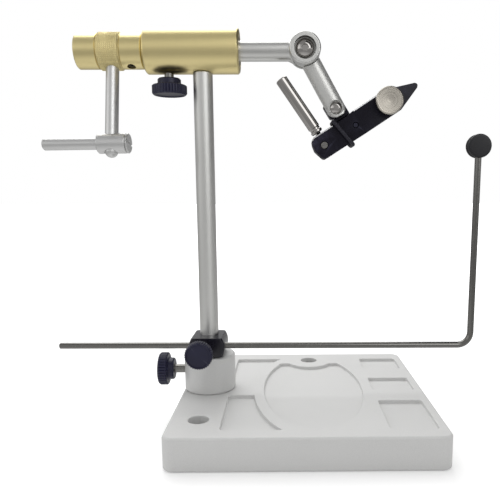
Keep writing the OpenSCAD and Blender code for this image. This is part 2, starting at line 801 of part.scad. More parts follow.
module tension_stud() {
  tip = bar_r + tension_pad_h + 2 * seat_gap;
  at_tension_screw(tip) thumb_stud(stud_length(housing_r - tip, tension_neck));
}

module tension_knob() {
  at_tension_screw(housing_r + tension_neck) thumb_knob();
}

// the shaft widens into a fork that holds the eye of the elbow arm
module rotary_shaft() {
  cone_l = flare_l * cos(flare);
  cone_r = bar_r + flare_l * sin(flare);
  wide = 2 * cheek_r;
  color([0.78, 0.78, 0.78]) at_axis() difference() {
    union() {
      bar_x(-shaft_left, bar_r, shaft_left + knuckle_x, bar_edge, 0);
      difference() {
        translate([fork_start_x, 0, 0]) rotate([0, 90, 0]) cylinder(r1 = bar_r, r2 = cone_r, h = cone_l);
        block(fork_start_x, knuckle_x, cheek_back, wide, -wide, wide);
      }
      translate([knuckle_x, 0, 0]) bar_y(-cheek_front, cheek_r, cheek_front + cheek_back, bar_edge, bar_edge);
    }
    translate([knuckle_x, 0, 0]) {
      cut_y(-eye_half_t - slot_side_gap, eye_half_t + slot_side_gap, cheek_r + slot_end_gap);
      cut_y(-cheek_front - over, cheek_back + over, knuckle_screw_r + fixed_gap);
      cut_y(-cheek_front - over, knuckle_seat - cheek_front, knuckle_seat_r);
    }
  }
}

module thrust_washer() {
  x = -housing_left - seat_gap - washer_t;
  color([0.9, 0.9, 0.86]) at_axis() difference() {
    bar_x(x, washer_r, washer_t, 0, 0);
    cut_x(x - over, x + over, bar_r + fixed_gap);
  }
}

module hub() {
  a = hub_left - knurl_left;
  b = hub_left - knurl_right;
  l = hub_left - hub_right;
  color([0.8, 0.68, 0.4]) at_axis() difference() {
    translate([-hub_left, 0, 0]) rotate([0, 90, 0]) rotate_extrude() polygon([
      [0, 0], [hub_r - hub_edge, 0], [hub_r, hub_edge], [hub_r, a],
      [knurl_r - knurl_bevel, a], [knurl_r, a + knurl_bevel],
      [knurl_r, b - knurl_bevel], [knurl_r - knurl_bevel, b],
      [hub_r, b], [hub_r, l - hub_edge], [hub_r - hub_edge, l], [0, l]
    ]);
    cut_x(-hub_left - over, -hub_right + over, bar_r + fixed_gap);
    rotate([-crank_turn, 0, 0]) translate([-arm_left, 0, 0]) cut_z(-2 * hub_r, 0, arm_r + fixed_gap);
    at_grub() cut_z(0, 2 * hub_r, grub_r + fixed_gap);
  }
}

module hub_set_screw() {
  low = bar_r + seat_gap;
  color([0.2, 0.2, 0.22]) at_axis() at_grub() difference() {
    translate([0, 0, low]) bar(grub_r, grub_l, 0, 0);
    socket(low + grub_l, grub_socket_r, grub_socket_depth);
  }
}

module crank_arm() {
  low = arm_r - crank_l - arm_below;
  high = -bar_r - seat_gap;
  color([0.78, 0.78, 0.78]) at_crank() translate([-arm_left, 0, 0]) difference() {
    translate([0, 0, low]) bar(arm_r, high - low, 0, bar_edge);
    cut_z(low - over, low + arm_r, rod_r / 2 + fixed_gap);
  }
}

module crank_dome() {
  color([0.7, 0.7, 0.7]) at_crank() translate([-arm_left, 0, -crank_l - arm_below]) {
    intersection() {
      translate([0, 0, arm_r]) sphere(r = arm_r);
      cylinder(r = arm_r, h = arm_r - seat_gap);
    }
    translate([0, 0, arm_r / 2]) bar(rod_r / 2, arm_r, 0, 0);
  }
}

module crank_barrel() {
  l = barrel_left - barrel_right - barrel_cap_t;
  color([0.6, 0.6, 0.6]) at_barrel() difference() {
    bar_x(-barrel_left, barrel_r, l, barrel_edge, rod_end_edge);
    translate([-arm_left, 0, 0]) cut_z(-2 * barrel_r, 2 * barrel_r, arm_r + run_gap);
    cut_x(-barrel_left - over, -arm_left, pin_r * 0.75 + run_gap);
    cut_x(-arm_left, -barrel_right, stud_r + fixed_gap);
  }
}

// clamp screw of the barrel: its head closes the right end
module barrel_screw() {
  head_x = seat_gap - barrel_right - barrel_cap_t;
  tip_x = arm_r + seat_gap - arm_left;
  slot_x = -barrel_right - cap_slot_depth;
  slot_z = cap_slot_w / 2;
  color([0.55, 0.55, 0.56]) at_barrel() difference() {
    union() {
      bar_x(head_x, barrel_r, -barrel_right - head_x, rod_end_edge, barrel_edge);
      bar_x(tip_x, stud_r, -barrel_right - tip_x, 0, barrel_edge);
    }
    block(slot_x, over - barrel_right, -2 * barrel_r, 2 * barrel_r, -slot_z, slot_z);
  }
}

module crank_pin() {
  neck_to = -arm_left - arm_r - seat_gap * 4;
  color([0.45, 0.46, 0.48]) at_barrel() {
    bar_x(-pin_left, pin_r, pin_left - barrel_left - seat_gap, pin_edge, 0);
    bar_x(-pin_left + pin_r, pin_r * 0.75, neck_to + pin_left - pin_r, 0, 0);
  }
}

module elbow_arm() {
  lap_x = elbow_l - elbow_lap_l;
  end_x = elbow_l + elbow_end;
  shoulder_r = cheek_r + shoulder_gap;
  wide = 2 * elbow_r;
  color([0.78, 0.78, 0.78]) at_elbow_arm() difference() {
    union() {
      bar_y(-eye_half_t, eye_r, 2 * eye_half_t, rod_end_edge, rod_end_edge);
      block(0, shoulder_r + bar_edge, -eye_half_t, eye_half_t, -neck_half_h, neck_half_h);
      difference() {
        intersection() {
          cut_x(0, end_x, elbow_r);
          round_plate(-elbow_l, end_x, -elbow_r, elbow_r, elbow_corner_r, -elbow_r, elbow_r);
        }
        cut_y(-wide, wide, shoulder_r);
      }
    }
    cut_y(-wide, wide, knuckle_screw_r + run_gap);
    block(lap_x, end_x + over, -seat_gap, wide, -wide, wide);
    translate([elbow_l, 0, 0]) cut_y(-wide, wide, elbow_screw_r + fixed_gap);
    translate([elbow_l, 0, 0]) cut_y(-wide, -elbow_seat, elbow_seat_r);
  }
}

module knuckle_screw() {
  seat = cheek_front - knuckle_seat + knuckle_washer_t + 2 * seat_gap;
  root = knuckle_head_h * 0.3; // how far the shank reaches into the head
  color([0.3, 0.3, 0.32]) at_knuckle() {
    translate([0, -seat, 0]) rotate([90, 0, 0]) dome_head(knuckle_head_r, knuckle_head_h);
    bar_y(-seat - root, knuckle_screw_r, seat + root + cheek_back - seat_gap, 0, rod_end_edge);
  }
}

module knuckle_washer() {
  y = knuckle_seat - cheek_front - seat_gap - knuckle_washer_t;
  color([0.7, 0.7, 0.7]) at_knuckle() difference() {
    bar_y(y, knuckle_washer_r, knuckle_washer_t, 0, 0);
    cut_y(y - over, y + over, knuckle_screw_r + fixed_gap);
  }
}

module elbow_screw() {
  seat = elbow_seat + seat_gap;
  root = elbow_head_h * 0.3;
  color([0.3, 0.3, 0.32]) at_jaws() {
    translate([0, -seat, 0]) rotate([90, 0, 0]) dome_head(elbow_head_r, elbow_head_h);
    bar_y(-seat - root, elbow_screw_r, seat + root + lug_back - seat_gap, 0, rod_end_edge);
  }
}

// one jaw, outer face at positive Y, without its holes
module jaw_blank() {
  l = jaw_tip + jaw_rear;
  intersection() {
    translate([-jaw_rear, jaw_outer, -jaw_drop]) rotate([90, 0, 0]) {
      linear_extrude(height = jaw_outer) polygon([
        for (p = jaw_shares) [l * p[0], jaw_half_h * p[1]]
      ]);
    }
    translate([0, 0, -2 * jaw_drop]) linear_extrude(height = 2 * jaw_drop) polygon([
      [jaw_tip, jaw_meet], [jaw_tip, jaw_tip_half_t], [jaw_taper_from, jaw_outer],
      [-jaw_rear, jaw_outer], [-jaw_rear, jaw_meet + jaw_part], [jaw_part_from, jaw_meet]
    ]);
  }
}

// room for the cam and for the swing of its lever, on one side of the middle
module cam_room(floor_y) {
  room_r = cam_r + 2 * rod_end_edge;
  side = lever_off + lever_neck_r + rock_gap;
  translate([-cross_x, 0, -jaw_drop]) {
    cut_y(0, floor_y, room_r);
    block(-jaw_rear, side, 0, floor_y, -lever_neck_r, 2 * jaw_half_h);
  }
}

module rear_jaw() {
  step_z = jaw_half_h * 1.1 - jaw_drop;
  color([0.12, 0.13, 0.16]) at_jaws() difference() {
    union() {
      jaw_blank();
      block(-lug_rear, lug_half_w, jaw_meet + jaw_part, lug_back, -jaw_drop, 0);
      block(-lug_rear, lug_half_w, seat_gap, lug_back, step_z, 0);
      round_plate(-lug_half_w, lug_half_w, -lug_step, lug_up, lug_corner_r, seat_gap, lug_back);
    }
    cam_room(cam_seat_back);
    cut_y(-lug_back, 2 * lug_back, elbow_screw_r + run_gap);
    translate([adjust_x, 0, -adjust_z]) cut_y(-over, 2 * jaw_outer, adjust_screw_r + run_gap);
    translate([dowel_x, 0, -jaw_drop]) cut_y(-over, 2 * jaw_outer, dowel_r + fixed_gap);
    translate([-cross_x, 0, -jaw_drop]) cut_y(-over, 2 * jaw_outer, cross_r + fixed_gap);
  }
}

module front_jaw() {
  follower_x = follower_out - cross_x;
  color([0.12, 0.13, 0.16]) at_jaws() {
    difference() {
      mirror([0, 1, 0]) jaw_blank();
      mirror([0, 1, 0]) cam_room(cam_seat_front);
      translate([adjust_x, 0, -adjust_z]) cut_y(-2 * jaw_outer, over, adjust_screw_r + rock_gap);
      translate([dowel_x, 0, -jaw_drop]) cut_y(-2 * jaw_outer, over, dowel_r + rock_gap);
      translate([-cross_x, 0, -jaw_drop]) cut_y(-2 * jaw_outer, over, cross_r + rock_gap);
    }
    translate([follower_x, 0, -jaw_drop]) {
      cut_y(-cam_seat_front - rod_end_edge, follower_y, follower_r);
      translate([0, follower_y, 0]) sphere(r = follower_r);
    }
  }
}

module jaw_dowel() {
  l = 2 * jaw_outer - seat_gap;
  color([0.5, 0.5, 0.52]) at_jaws() translate([dowel_x, 0, -jaw_drop]) bar_y(-jaw_outer, dowel_r, l, 0, 0);
}

module jaw_screw() {
  knob_y = jaw_outer + adjust_boss_gap + adjust_boss_h + adjust_knob_t;
  l = knob_y + jaw_outer - seat_gap;
  color([0.6, 0.6, 0.62]) at_adjust() bar_y(-knob_y, adjust_screw_r, l, rod_end_edge, rod_end_edge);
}

module jaw_knob() {
  boss_y = -jaw_outer - adjust_boss_gap;
  disc_y = boss_y - adjust_boss_h;
  t = adjust_knob_t;
  color([0.75, 0.75, 0.75]) at_adjust() difference() {
    union() {
      bar_y(disc_y - t, adjust_knob_r, t, adjust_knob_bevel, adjust_knob_bevel);
      bar_y(disc_y - t / 2, adjust_boss_r, adjust_boss_h + t / 2, 0, 0);
    }
    cut_y(-4 * jaw_outer, 0, adjust_screw_r + fixed_gap);
  }
}

// rubber ring round both jaws, straight sides and four round corners
module jaw_ring() {
  r = ring_gap + ring_r;
  w = ring_half_w;
  h = ring_half_h;
  color([0.08, 0.08, 0.08]) at_jaws() translate([-ring_x, 0, -jaw_drop]) rotate([0, -ring_slant, 0]) {
    for (s = [-1, 1]) {
      translate([0, 0, s * h]) cut_y(r - w, w - r, ring_r);
      translate([0, s * w, 0]) cut_z(r - h, h - r, ring_r);
    }
    for (c = [[0, 1, 1], [90, -1, 1], [180, -1, -1], [270, 1, -1]]) {
      translate([0, c[1] * (w - r), c[2] * (h - r)]) rotate([90, 0, 90]) rotate([0, 0, c[0]]) {
        rotate_extrude(angle = 90) translate([r, 0]) circle(r = ring_r);
      }
    }
  }
}

// frame of the lever: Z runs from the cross pin up the lever
module at_lever() {
  rotate([0, -lever_lean, 0]) translate([lever_off, lever_y, 0]) children();
}

// disc with one sloping face: turning it wedges the jaws apart at the rear
module cam() {
  big = 4 * cam_r;
  color([0.3, 0.3, 0.32]) at_cross() difference() {
    cut_y(-2 * cam_mid - cam_r, cam_back, cam_r);
    rotate([0, -cam_thick_at, 0]) translate([0, -cam_mid, 0]) rotate([0, 0, -cam_slope]) {
      block(-big, big, -big, 0, -big, big);
    }
    cut_y(-big, big, cross_r + run_gap);
    at_lever() cut_z(lever_thread_in - seat_gap, big, lever_thread_r + fixed_gap);
  }
}

module cam_lever() {
  neck_from = cam_r + seat_gap;
  collar_to = lever_foot + lever_collar_l;
  grip_from = collar_to + lever_groove_w;
  groove_r = lever_r - lever_groove_depth;
  color([0.6, 0.6, 0.6]) at_cross() at_lever() {
    translate([0, 0, lever_foot]) bar(lever_r, lever_collar_l, lever_edge, bar_edge / 2);
    translate([0, 0, lever_foot + lever_edge]) bar(groove_r, grip_from - lever_foot, 0, 0);
    translate([0, 0, grip_from]) bar(lever_r, lever_top - grip_from, bar_edge / 2, lever_edge);
    translate([0, 0, neck_from]) bar(lever_neck_r, lever_foot - neck_from + lever_edge, 0, 0);
    translate([0, 0, lever_thread_in]) bar(lever_thread_r, lever_foot - lever_thread_in, 0, 0);
  }
}

module cam_pin() {
  color([0.6, 0.6, 0.62]) at_cross() bar_y(-jaw_outer, cross_r, 2 * jaw_outer - seat_gap, 0, 0);
}

base();
stem_collar();
post_stud();
stem();
collar_stud();
collar_knob();
cradle_clamp();
cradle_stud();
cradle_knob();
cradle_rod();
thread_rest();
housing();
shaft_bushings();
stem_stud();
tension_pad();
tension_stud();
tension_knob();
rotary_shaft();
thrust_washer();
hub();
hub_set_screw();
crank_arm();
crank_dome();
crank_barrel();
barrel_screw();
crank_pin();
elbow_arm();
knuckle_screw();
knuckle_washer();
elbow_screw();
rear_jaw();
front_jaw();
jaw_dowel();
jaw_screw();
jaw_knob();
jaw_ring();
cam();
cam_lever();
cam_pin();
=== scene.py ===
"""Rotary fly tying vise on a pedestal base: its looks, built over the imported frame."""

import json
import math

import bmesh
import bpy
from mathutils import Matrix, Vector


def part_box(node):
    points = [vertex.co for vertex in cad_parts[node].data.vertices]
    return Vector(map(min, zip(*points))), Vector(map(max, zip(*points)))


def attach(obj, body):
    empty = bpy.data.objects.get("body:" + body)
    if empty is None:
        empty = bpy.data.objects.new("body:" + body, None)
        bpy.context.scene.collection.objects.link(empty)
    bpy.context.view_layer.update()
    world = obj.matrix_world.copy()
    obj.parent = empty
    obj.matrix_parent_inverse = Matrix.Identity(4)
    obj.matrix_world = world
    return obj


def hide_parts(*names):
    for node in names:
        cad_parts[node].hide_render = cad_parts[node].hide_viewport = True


bl_info = {
    "name": "Fly Tying Vise",
    "version": (1, 0, 0),
    "blender": (4, 5, 0),
    "location": "3D View > Sidebar > Vise",
    "description": "Finishes the machined pieces of a rotary fly tying vise and lights them",
    "category": "Object",
}

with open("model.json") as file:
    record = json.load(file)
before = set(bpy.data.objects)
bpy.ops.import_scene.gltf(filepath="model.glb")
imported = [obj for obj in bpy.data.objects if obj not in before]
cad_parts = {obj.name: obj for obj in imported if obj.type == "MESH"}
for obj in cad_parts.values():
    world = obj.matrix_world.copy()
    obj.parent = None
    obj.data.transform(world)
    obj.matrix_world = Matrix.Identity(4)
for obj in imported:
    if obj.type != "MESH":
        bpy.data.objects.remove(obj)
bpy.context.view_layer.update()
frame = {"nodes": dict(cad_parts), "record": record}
MM = 0.001
FULL_TURN = 2 * math.pi

# Corners closer than this are one corner
MERGE = MM / 1000
# Faces that differ by less than this lie flat against each other
FLAT = math.radians(0.4)
# Edges that bend more than this are rounded over
SHARP_EDGE = math.radians(28)
# Edges that bend more than this stay sharp in the shading
SHARP_SHADING = math.radians(32)
# Range that the values of a noise texture mostly fill
NOISE = (0.3, 0.7)


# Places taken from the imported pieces


def middle(node):
    """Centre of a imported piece's box."""
    low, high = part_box(node)
    return (low + high) / 2


def body_of(node):
    """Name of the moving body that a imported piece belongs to."""
    for body, nodes in frame["record"]["behaviour"]["bodies"].items():
        if node in nodes:
            return body
    raise ValueError(node + " is on no body")


def joint(name):
    """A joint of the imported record, by name."""
    for j in frame["record"]["behaviour"]["joints"]:
        if j["name"] == name:
            return j
    raise ValueError("no joint " + name)


SHAFT_Z = joint("rotary_spin")["pos_m"][2]
ADJUST = Vector(joint("jaw_screw_turn")["pos_m"])


def facing(origin, outward, up=(0, 0, 1)):
    """Matrix that puts a piece turned about Z at origin, with its Z pointing outward."""
    z = Vector(outward).normalized()
    side = Vector(up)
    if abs(side.dot(z)) > 0.9:
        side = Vector((1, 0, 0))
    x = side.cross(z).normalized()
    y = z.cross(x)
    turn = Matrix((x, y, z)).transposed().to_4x4()
    return Matrix.Translation(Vector(origin)) @ turn


# Settings that a user would change


class ViseColours(bpy.types.PropertyGroup):
    """Colours of the finishes."""

    base: bpy.props.FloatVectorProperty(
        name="Base", description="Blasted grey of the base and its collar",
        subtype="COLOR", default=(0.62, 0.62, 0.612), min=0, max=1)
    satin: bpy.props.FloatVectorProperty(
        name="Satin metal", description="Satin metal of the stem, shaft and elbow",
        subtype="COLOR", default=(0.63, 0.63, 0.612), min=0, max=1)
    gold: bpy.props.FloatVectorProperty(
        name="Gold", description="Gold anodising of the housing and the hub",
        subtype="COLOR", default=(0.79, 0.675, 0.345), min=0, max=1)
    crank: bpy.props.FloatVectorProperty(
        name="Crank", description="Grey metal of the crank",
        subtype="COLOR", default=(0.6, 0.6, 0.595), min=0, max=1)
    rod: bpy.props.FloatVectorProperty(
        name="Rod", description="Steel of the cradle rod and the screws",
        subtype="COLOR", default=(0.18, 0.177, 0.168), min=0, max=1)
    jaw: bpy.props.FloatVectorProperty(
        name="Jaws", description="Blue black of the jaws",
        subtype="COLOR", default=(0.005, 0.0042, 0.009), min=0, max=1)
    knob: bpy.props.FloatVectorProperty(
        name="Knobs", description="Blue black of the thumb knobs",
        subtype="COLOR", default=(0.0125, 0.0125, 0.034), min=0, max=1)
    bright: bpy.props.FloatVectorProperty(
        name="Polished steel", description="Polished steel of the lever and the screw heads",
        subtype="COLOR", default=(0.4, 0.385, 0.37), min=0, max=1)
    nickel: bpy.props.FloatVectorProperty(
        name="Adjusting knob", description="Turned nickel of the adjusting knob",
        subtype="COLOR", default=(0.52, 0.487, 0.43), min=0, max=1)


class ViseSizes(bpy.types.PropertyGroup):
    """Sizes of the finishing details."""

    base_edge: bpy.props.FloatProperty(
        name="Base edges", description="Rounding of the edges of the base and its pockets",
        default=0.35 * MM, min=0.05 * MM, max=0.6 * MM, unit="LENGTH")
    part_edge: bpy.props.FloatProperty(
        name="Machined edges", description="Rounding of the edges of the machined pieces",
        default=0.16 * MM, min=0.03 * MM, max=0.3 * MM, unit="LENGTH")
    small_edge: bpy.props.FloatProperty(
        name="Small edges", description="Rounding of the edges of screws and pins",
        default=0.08 * MM, min=0.02 * MM, max=0.15 * MM, unit="LENGTH")
    knob_ribs: bpy.props.IntProperty(
        name="Knob ribs", description="Ribs round a thumb knob", default=36, min=24, max=90)
    knob_rib_depth: bpy.props.FloatProperty(
        name="Rib depth", description="Depth of the ribs of a thumb knob",
        default=0.45 * MM, min=0.05 * MM, max=0.6 * MM, unit="LENGTH")
    knurl_count: bpy.props.IntProperty(
        name="Knurl count", description="Knurl lines round the hub", default=60, min=24, max=90)
    knurl_depth: bpy.props.FloatProperty(
        name="Knurl depth", description="Depth of the diamond knurl of the hub",
        default=0.26 * MM, min=0.04 * MM, max=0.4 * MM, unit="LENGTH")
    rim_ribs: bpy.props.IntProperty(
        name="Adjusting knob ribs", description="Ribs round the adjusting knob",
        default=64, min=24, max=96)
    face_rings: bpy.props.IntProperty(
        name="Adjusting knob rings", description="Turned rings on the face of the adjusting knob",
        default=9, min=5, max=41)


class ViseStage(bpy.types.PropertyGroup):
    """Camera, floor and lights."""

    camera_place: bpy.props.FloatVectorProperty(
        name="Camera", description="Where the camera stands", subtype="TRANSLATION",
        unit="LENGTH", default=(0.03921, -0.28787, 0.1173))
    camera_forward: bpy.props.FloatVectorProperty(
        name="Looking along", description="Direction in which the camera looks",
        subtype="DIRECTION", default=(0.0077, 0.9887, -0.1498))
    camera_up: bpy.props.FloatVectorProperty(
        name="Up", description="Upward direction of the picture",
        subtype="DIRECTION", default=(0.0051, 0.1498, 0.9887))
    lens: bpy.props.FloatProperty(
        name="Lens", description="Focal length on a 36 mm sensor", default=40.54, min=20, max=90,
        unit="CAMERA")
    shift: bpy.props.FloatVectorProperty(
        name="Shift", description="Shift of the picture, as a share of its width", size=2,
        default=(-0.0766, 0.057))
    world_light: bpy.props.FloatProperty(
        name="Room light", description="Strength of the even light from all round",
        default=0.7, min=0, max=2)
    top_light: bpy.props.FloatProperty(
        name="Top light", description="Power of the softbox above", default=5.0, min=0, max=30,
        unit="POWER")
    side_light: bpy.props.FloatProperty(
        name="Side light", description="Power of the softbox on the left", default=0.6, min=0,
        max=30, unit="POWER")


# Meshes


def place(bm, name, body, material, turn=None, stands_for=()):
    """Makes a finished piece of a bmesh: placed, shaded, coloured and riding."""
    if turn is not None:
        bmesh.ops.transform(bm, matrix=turn, verts=bm.verts)
    mesh = bpy.data.meshes.new(name)
    bm.to_mesh(mesh)
    bm.free()
    mesh.polygons.foreach_set("use_smooth", [True] * len(mesh.polygons))
    mesh.set_sharp_from_angle(angle=SHARP_SHADING)
    mesh.materials.append(material)
    piece = bpy.data.objects.new(name, mesh)
    bpy.context.scene.collection.objects.link(piece)
    normals = piece.modifiers.new("Even shading", "WEIGHTED_NORMAL")
    normals.keep_sharp = True
    normals.weight = 80
    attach(piece, body)
    if stands_for:
        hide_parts(*stands_for)
    return piece


def softened(node, name, edge, material, steps=2, sink=None, shape=None):
    """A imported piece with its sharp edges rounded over.

    sink is a step on the loose copy, and shape is one on the merged copy, before the rounding.
    """
    bm = bmesh.new()
    bm.from_mesh(frame["nodes"][node].data)
    if sink:
        sink(bm)
    bmesh.ops.remove_doubles(bm, verts=bm.verts, dist=MERGE)
    bmesh.ops.dissolve_limit(
        bm, angle_limit=FLAT, verts=bm.verts, edges=bm.edges)
    bmesh.ops.recalc_face_normals(bm, faces=bm.faces)
    if shape:
        shape(bm)
    sharp = [e for e in bm.edges if e.is_manifold and e.calc_face_angle(0) > SHARP_EDGE]
    bmesh.ops.bevel(
        bm, geom=sharp, offset=edge, offset_type="OFFSET", segments=steps, profile=0.5,
        affect="EDGES", clamp_overlap=False, material=-1)
    return place(bm, name, body_of(node), material, stands_for=(node,))


def rounded(profile, steps=4):
    """Profile of (height, radius, fillet) corners as (height, radius) points with arcs."""
    points = []
    for i, (h, r, fillet) in enumerate(profile):
        here = Vector((h, r))
        if fillet <= 0 or i == 0 or i == len(profile) - 1:
            points.append(here)
            continue
        before = Vector(profile[i - 1][:2]) - here
        after = Vector(profile[i + 1][:2]) - here
        bend = math.pi - before.angle(after)
        reach = min(fillet * math.tan(bend / 2), 0.48 * before.length, 0.48 * after.length)
        start = here + before.normalized() * reach
        end = here + after.normalized() * reach
        for k in range(steps + 1):
            t = k / steps
            points.append((1 - t) ** 2 * start + 2 * t * (1 - t) * here + t * t * end)
    return points


def turned(profile, sides):
    """A bmesh turned about Z from (height, radius, fillet) corners."""
    bm = bmesh.new()
    verts = [bm.verts.new((p.y, 0, p.x)) for p in rounded(profile)]
    edges = [bm.edges.new(pair) for pair in zip(verts, verts[1:])]
    bmesh.ops.spin(
        bm, geom=verts + edges, cent=(0, 0, 0), axis=(0, 0, 1), angle=FULL_TURN, steps=sides,
        use_merge=True, use_duplicate=False)
    bmesh.ops.remove_doubles(bm, verts=bm.verts, dist=MERGE)
    bmesh.ops.recalc_face_normals(bm, faces=bm.faces)
    return bm


def divided(profile, length):
    """The same profile with its long straight runs cut into shorter ones."""
    out = [profile[0]]
    for a, b in zip(profile, profile[1:]):
        run = math.dist(a[:2], b[:2])
        parts = max(1, round(run / length)) if a[2] == b[2] == 0 else 1
        for k in range(1, parts):
            t = k / parts
            out.append((a[0] + (b[0] - a[0]) * t, a[1] + (b[1] - a[1]) * t, 0))
        out.append(b)
    return out


def press_ribs(bm, count, depth, r_from, r_to):
    """Presses upright ribs into what lies between two radii."""
    for v in bm.verts:
        r = math.hypot(v.co.x, v.co.y)
        share = min(1, max(0, (r - r_from) / (r_to - r_from)))
        wave = abs(math.sin(math.atan2(v.co.y, v.co.x) * count / 2)) ** 0.7
        keep = 1 - depth * share * (1 - wave) / max(r, MM)
        v.co.x *= keep
        v.co.y *= keep


def draw_back(bm, outward, reach, by):
    """Moves the end of a piece that points outward back along that direction."""
    far = max(v.co.dot(outward) for v in bm.verts)
    for v in bm.verts:
        if v.co.dot(outward) > far - reach:
            v.co -= outward * by


# Shared effects and materials


def new_group(name, inputs, outputs):
    """An empty shader group with named sockets: (group, its input node, its output node)."""
    group = bpy.data.node_groups.new(name, "ShaderNodeTree")
    for label, kind, value in inputs:
        socket = group.interface.new_socket(label, in_out="INPUT", socket_type=kind)
        if value is not None:
            socket.default_value = value
    for label, kind in outputs:
        group.interface.new_socket(label, in_out="OUTPUT", socket_type=kind)
    return group, group.nodes.new("NodeGroupInput"), group.nodes.new("NodeGroupOutput")


def node(tree, kind, **values):
    """A node with some of its settings and inputs filled in."""
    made = tree.nodes.new(kind)
    for key, value in values.items():
        if key in made.inputs:
            made.inputs[key].default_value = value
        else:
            setattr(made, key, value)
    return made


def blend_colours(tree, factor, low, high):
    """A colour mix node; factor and colours are sockets or values."""
    mix = node(tree, "ShaderNodeMix", data_type="RGBA", blend_type="MIX")
    for socket, value in ((mix.inputs[0], factor), (mix.inputs[6], low), (mix.inputs[7], high)):
        if isinstance(value, bpy.types.NodeSocket):
            tree.links.new(value, socket)
        elif isinstance(value, (int, float)):
            socket.default_value = value
        else:
            socket.default_value = (*value, 1) if len(value) == 3 else value
    return mix.outputs[2]


def spread(tree, value, low, high, to_low=0.0, to_high=1.0):
    """Maps a value from one range to another."""
    ramp = node(tree, "ShaderNodeMapRange")
    tree.links.new(value, ramp.inputs["Value"])
    for key, number in (("From Min", low), ("From Max", high), ("To Min", to_low),
                        ("To Max", to_high)):
        if isinstance(number, bpy.types.NodeSocket):
            tree.links.new(number, ramp.inputs[key])
        else:
            ramp.inputs[key].default_value = number
    return ramp.outputs["Result"]


def blend(tree, factor, low, high):
    """A mix of two numbers; all three are sockets or values."""
    mix = node(tree, "ShaderNodeMix", data_type="FLOAT")
    for socket, value in ((mix.inputs[0], factor), (mix.inputs[2], low), (mix.inputs[3], high)):
        if isinstance(value, bpy.types.NodeSocket):
            tree.links.new(value, socket)
        else:
            socket.default_value = value
    return mix.outputs[0]


def stops(tree, value, levels):
    """A number read off (value, level) stops, of which the first is at 0 and the last at 1."""
    bands = node(tree, "ShaderNodeValToRGB")
    tree.links.new(value, bands.inputs[0])
    marks = bands.color_ramp.elements
    for spot, level in levels[1:-1]:
        marks.new(spot)
    for mark, (spot, level) in zip(marks, levels):
        mark.color = (level, level, level, 1)
    return bands.outputs[0]


def multiply(tree, a, b):
    """One number times another."""
    product = node(tree, "ShaderNodeMath", operation="MULTIPLY")
    tree.links.new(a, product.inputs[0])
    tree.links.new(b, product.inputs[1])
    return product.outputs[0]


def grain_group():
    """Fine even grain of a blasted or moulded surface."""
    group, inner, outer = new_group(
        "Fine grain",
        [("Vector", "NodeSocketVector", None), ("Scale", "NodeSocketFloat", 2600.0)],
        [("Value", "NodeSocketFloat"), ("Cloud", "NodeSocketFloat")])
    fine = node(group, "ShaderNodeTexNoise", Detail=3.0, Roughness=0.6)
    group.links.new(inner.outputs["Vector"], fine.inputs["Vector"])
    group.links.new(inner.outputs["Scale"], fine.inputs["Scale"])
    cloud = node(group, "ShaderNodeTexNoise", Scale=38.0, Detail=4.0)
    group.links.new(inner.outputs["Vector"], cloud.inputs["Vector"])
    group.links.new(fine.outputs[0], outer.inputs["Value"])
    group.links.new(cloud.outputs[0], outer.inputs["Cloud"])
    return group


def streak_group():
    """Fine tool marks: noise that is drawn out along the cut."""
    group, inner, outer = new_group(
        "Tool marks",
        [("Vector", "NodeSocketVector", None), ("Scale", "NodeSocketVector", (1.0, 1.0, 1.0))],
        [("Value", "NodeSocketFloat")])
    spread_out = node(group, "ShaderNodeVectorMath", operation="MULTIPLY")
    group.links.new(inner.outputs["Vector"], spread_out.inputs[0])
    group.links.new(inner.outputs["Scale"], spread_out.inputs[1])
    marks = node(group, "ShaderNodeTexNoise", Scale=1.0, Detail=4.0, Roughness=0.65)
    group.links.new(spread_out.outputs[0], marks.inputs["Vector"])
    group.links.new(marks.outputs[0], outer.inputs["Value"])
    return group


def ring_group():
    """Turning rings of a lathe about one axis."""
    group, inner, outer = new_group(
        "Turning rings",
        [("Vector", "NodeSocketVector", None), ("Centre", "NodeSocketVector", None),
         ("Across", "NodeSocketVector", (1.0, 1.0, 1.0)), ("Rings", "NodeSocketFloat", 3000.0)],
        [("Value", "NodeSocketFloat")])
    off = node(group, "ShaderNodeVectorMath", operation="SUBTRACT")
    flat = node(group, "ShaderNodeVectorMath", operation="MULTIPLY")
    far = node(group, "ShaderNodeVectorMath", operation="LENGTH")
    scaled = node(group, "ShaderNodeMath", operation="MULTIPLY")
    ring = node(group, "ShaderNodeTexNoise", noise_dimensions="1D", Scale=1.0, Detail=3.0,
                Roughness=0.7)
    group.links.new(inner.outputs["Vector"], off.inputs[0])
    group.links.new(inner.outputs["Centre"], off.inputs[1])
    group.links.new(off.outputs[0], flat.inputs[0])
    group.links.new(inner.outputs["Across"], flat.inputs[1])
    group.links.new(flat.outputs[0], far.inputs[0])
    group.links.new(far.outputs["Value"], scaled.inputs[0])
    group.links.new(inner.outputs["Rings"], scaled.inputs[1])
    group.links.new(scaled.outputs[0], ring.inputs["W"])
    group.links.new(ring.outputs[0], outer.inputs["Value"])
    return group


